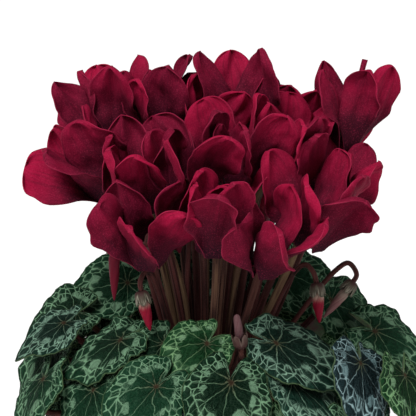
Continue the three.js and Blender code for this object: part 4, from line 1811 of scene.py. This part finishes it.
    def add_stalk(self, sheets: Sheets, crown: Crown) -> None:
        """Add the leaf's stalk, from the crown to the underside of the blade.

        Args:
            sheets: The mesh of the leaf stalks.
            crown: The crown that it grows from.
        """
        stand = self.site.stand()
        root = crown.root(self.site.at, crown.radius - 4)
        end = stand.at - stand.w * 0.45
        reach = math.hypot(end.x - root.x, end.y - root.y)
        outward = Vector((end.x - root.x, end.y - root.y, 0)) * 0.35
        lift = Vector((0, 0, 0.5 * max(reach * 0.6, end.z - root.z)))
        ends = (root, root + outward + lift, end - stand.w * (0.28 * reach), end)
        tone = Draws(self.number * 41 + 11).next()
        sheets.rod(lambda s: bezier(ends, s), lambda s: 2.0 + 0.5 * ease(0.85, 1.0, s), 12, 24, 0, tone)


@dataclass
class YoungLeaf(Leaf):
    """A small leaf low inside the plant, which is too slight to be a solid of its own."""

    round_steps: int = 84
    out_steps: int = 8
    teeth: int = 34

    @property
    def nodes(self) -> list[str]:
        """Return no CAD node."""
        return []

    @property
    def name(self) -> str:
        """Return the blade's name."""
        return f"young_blade_{self.number - FIRST_YOUNG + 1:02d}"

    def blade_shape(self, margin: float) -> BVHTree:
        """Return a coarse shape of the blade.

        Args:
            margin: How far it is kept off all else, in millimetres.

        Returns:
            Its two faces.
        """
        stand = self.site.stand()
        blade = Sheets()
        for lift in (-margin, margin):

            def place(u: float, v: float, lift: float = lift) -> Vector:
                """Return a point of one face of the blade."""
                return self.point(self.site, 2 * u - 1, 0.25 + 0.85 * v, 0.0) + stand.w * lift

            blade.grid(20, 3, place)
        return BVHTree.FromBMesh(blade.bm)

    def stalk_shape(self, crown: Crown) -> BVHTree:
        """Return the faces of the leaf's stalk.

        Args:
            crown: The crown that it grows from.

        Returns:
            The faces.
        """
        stalk = Sheets()
        self.add_stalk(stalk, crown)
        return BVHTree.FromBMesh(stalk.bm)


@dataclass
class Undergrowth:
    """The young leaves, each in the first place where its blade meets nothing.

    The places behind the flower stalks and behind the front leaves are a bearing, a distance and a height.
    """

    crown: Crown
    count: int = 44
    attempts: int = 30
    margin: float = 1.3
    behind_stalks: tuple[Spot, ...] = (
        *((106, 50, 204), (88, 44, 184), (130, 52, 200)),
        *((62, 54, 198), (150, 50, 188), (40, 50, 190)),
    )
    behind_leaves: tuple[Spot, ...] = (
        *((180, 70, 160), (178, 76, 142), (184, 84, 128), (195, 76, 150)),
        *((2, 64, 166), (0, 100, 130), (350, 74, 132), (345, 66, 160)),
        *((90, 62, 175), (88, 38, 181), (92, 76, 171), (90, 50, 178)),
        *((150, 98, 146), (165, 92, 147), (140, 105, 142), (156, 92, 154)),
        *((150, 72, 160), (135, 85, 158), (166, 64, 160), (120, 78, 163)),
    )

    def site(self, i: int, attempt: int) -> LeafSite:
        """Return where young leaf i may grow.

        Args:
            i: Its number. The first ones have a wanted place and face the front.
            attempt: Which of its tries.

        Returns:
            The site.
        """
        draws = Draws(i * 89 + attempt * 31 + 7)
        tint = (LeafTint.DEEP, LeafTint.FRESH, LeafTint.DEEP, LeafTint.SILVER)[i % 4]
        stray = min(1.0, 0.2 + attempt / 16)
        size = 27 + draws.spread(3) - 3 * stray
        fronts = self.behind_stalks + self.behind_leaves
        if i < len(fronts):
            at, out, z = fronts[i]
            spot = [c + draws.spread(reach * stray) for c, reach in ((at, 12), (out, 10), (z, 12))]
            turn = (90 if i % 2 else -90) + draws.spread(50 * stray)
            if i >= len(self.behind_stalks):
                turn, size = draws.spread(60 * stray), size - 3
            return LeafSite(*spot, 60 + draws.spread(14), turn, size, face=-90 + draws.spread(24), tint=tint)
        out = 46 + 60 * (i * 0.618 % 1) + draws.spread(10 * stray)
        z = 186 - 0.0048 * out**2 + draws.spread(8 * stray)
        slope = 25 + 0.35 * out + draws.spread(14)
        at = 137.5 * i % 360 + draws.spread(16 * stray)
        return LeafSite(at, out, z, slope, draws.spread(60), size, tint=tint)

    def grow(self, walls: list[BVHTree], blades: list[BVHTree]) -> list[YoungLeaf]:
        """Find the young leaves' places.

        Args:
            walls: What a blade keeps clear of, besides other blades.
            blades: The blades, of which a stalk keeps clear too.

        Returns:
            The leaves that found a place.
        """
        grown: list[YoungLeaf] = []
        for i in range(self.count):
            for attempt in range(self.attempts):
                leaf = YoungLeaf(FIRST_YOUNG + i, self.site(i, attempt))
                blade = leaf.blade_shape(self.margin)
                if not clear(blade, blades + walls):
                    continue
                stalk = leaf.stalk_shape(self.crown)
                if not clear(stalk, blades):
                    continue
                grown.append(leaf)
                blades.append(blade)
                walls.append(stalk)
                break
        LOG.info("young leaves: %d of %d found a place", len(grown), self.count)
        return grown


# ---------------------------------------------------------------- buds
@dataclass(frozen=True)
class BudSite:
    """Where a bud's calyx is and which way it swings; hang is 1 where it hangs and -1 where it stands."""

    x: float
    y: float
    z: float
    swing: float
    tilt: float
    length: float
    hang: float

    def stand(self) -> Stand:
        """Return the bud's own directions: w runs from its calyx to its tip.

        Returns:
            The calyx's place and directions.
        """
        tilt = self.tilt * DEGREE
        w = polar(self.swing, math.sin(tilt), -math.cos(tilt) * self.hang)
        u = polar(self.swing, math.cos(tilt), math.sin(tilt) * self.hang)
        return Stand(Vector((self.x, self.y, self.z)), u, w.cross(u), w)


@dataclass
class Bud:
    """A furled bud on its hooked stalk."""

    number: int
    site: BudSite
    skin: BudSkin
    plump: float = 0.85
    blunt: float = 0.0
    radius: float = 4.4
    stalk_radius: float = 1.6

    @property
    def nodes(self) -> list[str]:
        """Return the CAD nodes that the bud stands for."""
        return [f"bud_{self.number + 1:02d}"]

    @property
    def name(self) -> str:
        """Return the bud's name."""
        return f"furled_bud_{self.number + 1:02d}"

    def rule(self, margin: float = 0.0) -> Callable[[float, float], Vector]:
        """Return the bud's shape.

        Args:
            margin: What is added all round it, in millimetres.

        Returns:
            A rule from shares round it and along it to a point.
        """
        stand = self.site.stand()
        shares = (0.0, 0.02, 0.2, 0.5, 0.8, 0.9, 0.97, 1.0)
        fine = (0.0, 0.6, 1.0, 0.86, 0.5, 0.3, 0.16, 0.0)
        full = (0.0, 0.7, 0.95, 0.9, 0.85, 0.76, 0.5, 0.0)
        widths = [(v, a + (b - a) * self.blunt) for v, a, b in zip(shares, fine, full)]

        def place(u: float, v: float) -> Vector:
            """Return a point of the bud.

            Args:
                u: Share round it.
                v: Share along it.

            Returns:
                The point, in millimetres.
            """
            rib = 1 + 0.07 * (abs(math.sin(5 * math.pi * u)) - 0.6) * ease(0.0, 0.3, v)
            r = self.radius * self.plump * knot_value(widths, v) * rib + margin
            return stand.point(r, 360 * u + 150 * v, self.site.length * v + 0.5)

        return place

    def build(self) -> bpy.types.Object:
        """Return the bud, its petals wound round each other.

        Returns:
            The piece.
        """
        sheets = Sheets()
        sheets.grid(30, 24, self.rule())
        obj = sheets.piece(self.name, [self.skin.make()], "bud_petals", self.nodes)
        round_off(obj)
        return obj

    def add_stalk(self, sheets: Sheets, sepals: Sheets, crown: Crown) -> None:
        """Add the bud's stalk and calyx.

        Args:
            sheets: The mesh of the bud stalks.
            sepals: The mesh of the calyxes.
            crown: The crown that it grows from.
        """
        site, stand = self.site, self.site.stand()
        root = crown.root(math.atan2(site.y, site.x) / DEGREE, crown.radius - 6)
        back = stand.at - stand.w * 0.35
        aside = Vector((root.x - site.x, root.y - site.y, 0)).normalized()
        rise, drop = (14, 4) if site.hang > 0 else (-4, 12)
        over = back - stand.w * 10 + aside * 2
        peak = over + aside * 5
        peak.z = back.z + rise
        shoulder = peak + aside * 7
        shoulder.z = peak.z - drop
        middle = shoulder.lerp(root, 0.5)
        middle.z = root.z + 0.55 * (shoulder.z - root.z)
        points = [root, middle, shoulder, peak, over, back - stand.w * 3]
        tone = Draws(self.number * 61 + 4).next()
        sheets.rod(lambda s: through(points, s), lambda s: self.stalk_radius, 12, 50, 0, tone)
        Calyx(stand, top=0.3, reach=4.5, foot=1.9, sense=-1.0).add(sepals, tone)


@dataclass
class LateBud(Bud):
    """A large furled bud that nods among the open flowers, with no solid of its own."""

    radius: float = 6.6

    @property
    def nodes(self) -> list[str]:
        """Return no CAD node."""
        return []

    @property
    def name(self) -> str:
        """Return the bud's name."""
        return f"late_bud_{self.number - FIRST_LATE + 1:02d}"

    def bud_shape(self, margin: float) -> BVHTree:
        """Return a coarse shape of the bud.

        Args:
            margin: What is added all round it, in millimetres.

        Returns:
            The faces.
        """
        sheets = Sheets()
        sheets.grid(12, 8, self.rule(margin))
        return BVHTree.FromBMesh(sheets.bm)

    def stalk_shape(self, crown: Crown) -> BVHTree:
        """Return the faces of the bud's stalk.

        Args:
            crown: The crown that it grows from.

        Returns:
            The faces.
        """
        stalk = Sheets()
        self.add_stalk(stalk, Sheets(), crown)
        return BVHTree.FromBMesh(stalk.bm)


@dataclass
class LateBuds:
    """The late buds, each in the first place near a wanted one where it meets nothing."""

    crown: Crown
    attempts: int = 60
    margin: float = 0.7
    wanted: tuple[Spot, ...] = ((32, 12, 262), (34, 30, 268), (-20, -20, 262), (62, 10, 264))

    def grow(self, petals: list[BVHTree], blades: list[BVHTree], stalks: list[BVHTree]) -> list[LateBud]:
        """Find the late buds' places.

        Args:
            petals: The open flowers.
            blades: The leaves and the other buds.
            stalks: What a bud, but not its stalk, keeps clear of besides.

        Returns:
            The buds that found a place.
        """
        grown: list[LateBud] = []
        for i, (x, y, z) in enumerate(self.wanted):
            for attempt in range(self.attempts):
                draws = Draws(i * 59 + attempt * 17 + 2)
                stray = attempt / self.attempts
                at = (x + draws.spread(9 * stray), y + draws.spread(26 * stray), z + draws.spread(12 * stray))
                site = BudSite(*at, draws.spread(180), 8 + draws.spread(8), 33 - 7 * stray, 1)
                bud = LateBud(FIRST_LATE + i, site, BudSkin("bud_late", RED, WINE, 0.3), 0.95 - 0.2 * stray)
                shape = bud.bud_shape(self.margin)
                if not clear(shape, petals + blades + stalks):
                    continue
                stalk = bud.stalk_shape(self.crown)
                if not clear(stalk, petals + blades):
                    continue
                grown.append(bud)
                blades.append(shape)
                stalks.append(stalk)
                break
        LOG.info("late buds: %d of %d found a place", len(grown), len(self.wanted))
        return grown


# ---------------------------------------------------------------- the plant
FLOWERS = [
    FlowerSite(-34, -64, 238, 30, -100),
    FlowerSite(34, -72, 235, 34, -80),
    FlowerSite(-4, -80, 244, 30, -94),
    FlowerSite(62, -52, 246, 26, -56),
    FlowerSite(-57, -24, 270, 42, 184),
    FlowerSite(67, -24, 256, 22, -14),
    FlowerSite(-38, -38, 264, 22, -132),
    FlowerSite(-17, -42, 272, 16, -112),
    FlowerSite(18, -38, 276, 12, -76),
    FlowerSite(48, -22, 272, 12, -30),
    FlowerSite(-56, 6, 296, 16, 160, slim=0.5),
    FlowerSite(54, 6, 290, 6, 20),
    FlowerSite(76, 0, 290, 6, 10, slim=1.0),
    FlowerSite(26, 4, 302, 4, 60, slim=0.4),
    FlowerSite(-38, 4, 294, 8, 170),
    FlowerSite(-6, 4, 292, 6, 110),
    FlowerSite(-50, 42, 276, 24, 140),
    FlowerSite(-14, 36, 284, 16, 106),
    FlowerSite(24, 40, 280, 18, 66),
    FlowerSite(60, 42, 272, 24, 40),
    FlowerSite(-26, 72, 252, 36, 112),
    FlowerSite(18, 76, 254, 34, 78),
]

LEAVES = [
    LeafSite(-57, 74, 183, 32, 52, 44, tint=LeafTint.SILVER),
    LeafSite(-90, 70, 186, 44, -46, 33, tint=LeafTint.FRESH),
    LeafSite(-136, 72, 182, 34, -42, 38),
    LeafSite(-109, 92, 166, 46, -38, 41),
    LeafSite(-51, 96, 171, 52, 4, 43, tint=LeafTint.SILVER),
    LeafSite(-82, 98, 169, 52, -14, 41),
    LeafSite(-155, 102, 152, 56, 6, 38),
    LeafSite(-35, 108, 174, 56, -20, 41, tint=LeafTint.BLUE),
    LeafSite(-12, 106, 180, 40, 52, 40, face=-56),
    LeafSite(-25, 124, 158, 56, -10, 39, tint=LeafTint.FRESH),
    LeafSite(-10, 78, 192, 42, 36, 36, face=-50),
    LeafSite(-169, 100, 170, 48, -24, 41, face=-144),
    LeafSite(-158, 82, 180, 42, -44, 35, face=-130, tint=LeafTint.SILVER),
    LeafSite(-141, 99, 161, 54, -8, 40),
    LeafSite(-166, 114, 143, 54, 6, 38, tint=LeafTint.FRESH),
    LeafSite(-116, 104, 146, 62, -6, 38, tint=LeafTint.FRESH),
    LeafSite(-112, 66, 180, 60, -18, 31),
    LeafSite(-97, 98, 152, 64, 6, 37, tint=LeafTint.BLUE),
    LeafSite(154, 56, 200, 52, -76, 36, face=-100),
    LeafSite(176, 75, 184, 44, -72, 36, face=-108),
    LeafSite(34, 56, 204, 50, 70, 38, face=-82),
    LeafSite(84, 40, 206, 56, -90, 34, face=-92, tint=LeafTint.SILVER),
    LeafSite(10, 94, 182, 34, 10, 42),
    LeafSite(52, 92, 178, 42, 10, 44, tint=LeafTint.FRESH),
    LeafSite(80, 76, 190, 34, -6, 43),
    LeafSite(106, 92, 174, 44, 12, 44, tint=LeafTint.SILVER),
    LeafSite(136, 84, 182, 36, -8, 43),
    LeafSite(158, 98, 164, 46, 8, 42, tint=LeafTint.FRESH),
    LeafSite(30, 110, 152, 56, -6, 42),
    LeafSite(74, 108, 150, 58, -8, 42, on=23),
    LeafSite(120, 108, 146, 58, 6, 42, on=25, tint=LeafTint.FRESH),
    LeafSite(176, 110, 142, 58, -4, 40, on=27),
    LeafSite(-66, 112, 144, 64, 4, 38, on=5, tint=LeafTint.FRESH),
    LeafSite(-44, 118, 140, 64, 6, 40, on=4),
    LeafSite(2, 118, 146, 58, -4, 40, on=22, tint=LeafTint.BLUE),
    LeafSite(-136, 112, 132, 66, 4, 38, on=13),
]

RED: Colour = (0.17, 0.003, 0.016)
WINE: Colour = (0.07, 0.003, 0.010)
GARNET: Colour = (0.085, 0.003, 0.011)
CREAM: Colour = (0.34, 0.26, 0.2)
STRAW: Colour = (0.2, 0.15, 0.12)
BLUSH: Colour = (0.15, 0.070, 0.070)
DUSK: Colour = (0.060, 0.029, 0.031)
MAUVE: Colour = (0.092, 0.045, 0.048)

BUDS = [
    Bud(0, BudSite(-55, -52, 240, -95, 4, 32, 1), BudSkin("bud_red", WINE, GARNET), 0.78),
    Bud(1, BudSite(-38, -60, 211, -20, 14, 20, 1), BudSkin("bud_cream_to_red", CREAM, RED, 0.15), 0.85),
    Bud(2, BudSite(67, -44, 212, -60, 8, 20, 1), BudSkin("bud_cream_to_crimson", CREAM, RED, 0.2), 0.85),
    Bud(3, BudSite(87, -30, 210, 196, 42, 24, 1), BudSkin("bud_blush", STRAW, BLUSH, 0.3), 0.72),
    Bud(4, BudSite(20, -76, 189, 170, 8, 16, -1), BudSkin("bud_mauve", DUSK, MAUVE), 0.62, blunt=0.8),
]


@dataclass
class Plant:
    """The whole plant above the compost."""

    crown: Crown = field(default_factory=Crown)
    flowers: list[Flower] = field(default_factory=lambda: [Flower(i, site) for i, site in enumerate(FLOWERS)])
    leaves: list[Leaf] = field(default_factory=lambda: [Leaf(i, site) for i, site in enumerate(LEAVES)])
    buds: list[Bud] = field(default_factory=lambda: list(BUDS))
    sepal: float = 0.4

    def find(self) -> None:
        """Find the poses that the CAD nodes of the flowers and leaves were built with."""
        for flower in self.flowers:
            LOG.info("%s: misfit %.3f mm", flower.node, flower.find())
        for leaf in self.leaves:
            LOG.info("leaf %d in %s: misfit %.3f mm", leaf.number, leaf.node, leaf.find())

    def build(self) -> None:
        """Build the flowers, leaves, buds and crown, the late buds and young leaves, then the stalks."""
        velvet = PetalVelvet().make()
        shades = ((0.03, 0.0008, 0.008), (0.07, 0.002, 0.012), (0.12, 0.004, 0.02))
        throat = PetalVelvet("throat_velvet", *shades).make()
        blooms = [flower.build(velvet, throat) for flower in self.flowers]
        uppers = {tint: LeafMarbling(tint).make() for tint in LeafTint}
        under = LeafUnderside().make()
        blades = [leaf.build(uppers[leaf.site.tint], under) for leaf in self.leaves]
        solids = [bud.build() for bud in self.buds]
        self.crown.build()
        flower_stalks, leaf_stalks, bud_stalks, sepals = (Sheets() for _ in range(4))
        for flower, given in zip(self.flowers, FLOWERS):
            FlowerStalk(flower, given).add(flower_stalks, sepals, self.crown)
        for leaf in self.leaves:
            leaf.add_stalk(leaf_stalks, self.crown)
        for bud in self.buds:
            bud.add_stalk(bud_stalks, sepals, self.crown)
        walls = [BVHTree.FromBMesh(sheets.bm) for sheets in (flower_stalks, leaf_stalks, bud_stalks, sepals)]
        green = [skin_of(blade) for blade in blades]
        petals, furled = [skin_of(bloom) for bloom in blooms], [skin_of(bud) for bud in solids]
        for bud in LateBuds(self.crown).grow(petals, green + furled, walls):
            bud.build()
            bud.add_stalk(bud_stalks, sepals, self.crown)
        walls += furled + [skin_of(bpy.data.objects[name]) for name in ("pot", "compost", "tuber")]
        for leaf in Undergrowth(self.crown).grow(walls, green):
            leaf.build(uppers[leaf.site.tint], under)
            leaf.add_stalk(leaf_stalks, self.crown)
        skin = StalkSkin().make()
        kinds = {"flower_stalks": flower_stalks, "leaf_stalks": leaf_stalks, "bud_stalks": bud_stalks}
        for name, sheets in kinds.items():
            obj = sheets.piece(name, [skin], "stalks", ["stalks"])
            LOG.info("%s: %d faces", name, len(obj.data.polygons))
        calyxes = sepals.piece("calyxes", [CalyxSkin().make()], "stalks", ["stalks"])
        thicken(calyxes, self.sepal)


# ---------------------------------------------------------------- studio
@dataclass
class Studio:
    """Pale paper, soft light and a camera at the photograph's angle, in metres and degrees."""

    aim: Vector = field(default_factory=lambda: Vector((0.001, 0.0, 0.2532)))
    distance: float = 1.3
    elevation: float = 12.0
    lens: float = 181.4
    paper: float = 14.0
    ambient: float = 0.3
    key: float = 3.6
    key_spread: float = 28
    key_heading: Vector = field(default_factory=lambda: Vector((0.55, 1.0, -1.35)))
    fill: float = 5
    fill_at: Vector = field(default_factory=lambda: Vector((1.4, -1.1, 0.7)))
    fill_side: float = 1.2

    def build(self) -> None:
        """Lay the paper, hang the lights and place the camera."""
        scene = bpy.context.scene
        bm = bmesh.new()
        bmesh.ops.create_grid(bm, x_segments=4, y_segments=4, size=self.paper)
        mesh = bpy.data.meshes.new("paper")
        bm.to_mesh(mesh)
        bm.free()
        mesh.materials.append(StudioPaper().make())
        paper = placed("paper", mesh)
        world = bpy.data.worlds.new("studio")
        world.use_nodes = True
        sky = world.node_tree.nodes["Background"]
        sky.inputs["Color"].default_value = (1, 1, 1, 1)
        sky.inputs["Strength"].default_value = self.ambient
        scene.world = world
        scene.view_settings.view_transform = "Standard"
        sun = bpy.data.lights.new("key", "SUN")
        sun.energy = self.key
        sun.angle = self.key_spread * DEGREE
        placed("key", sun).rotation_euler = self.key_heading.to_track_quat("-Z", "Y").to_euler()
        light = bpy.data.lights.new("fill", "AREA")
        light.shape = "SQUARE"
        light.size = self.fill_side
        light.energy = self.fill
        lamp = placed("fill", light)
        lamp.location = self.fill_at
        lamp.rotation_euler = (self.aim - self.fill_at).to_track_quat("-Z", "Y").to_euler()
        camera = bpy.data.cameras.new("camera")
        camera.lens = self.lens
        camera.sensor_width = 36
        camera.clip_end = 60
        stand = placed("camera", camera)
        tilt = self.elevation * DEGREE
        stand.location = self.aim + Vector((0, -math.cos(tilt), math.sin(tilt))) * self.distance
        stand.rotation_euler = (self.aim - stand.location).to_track_quat("-Z", "Y").to_euler()
        scene.camera = stand


def main() -> None:
    """Build the plant, its pot and the studio."""
    logging.basicConfig(level=logging.INFO, format="%(name)s %(message)s")
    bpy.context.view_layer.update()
    Studio().build()
    pot = Pot()
    pot.build()
    tuber = Tuber()
    Compost(pot).build(tuber)
    tuber.build()
    plant = Plant()
    plant.find()
    plant.build()
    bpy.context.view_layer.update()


if __name__ == "__main__":
    main()
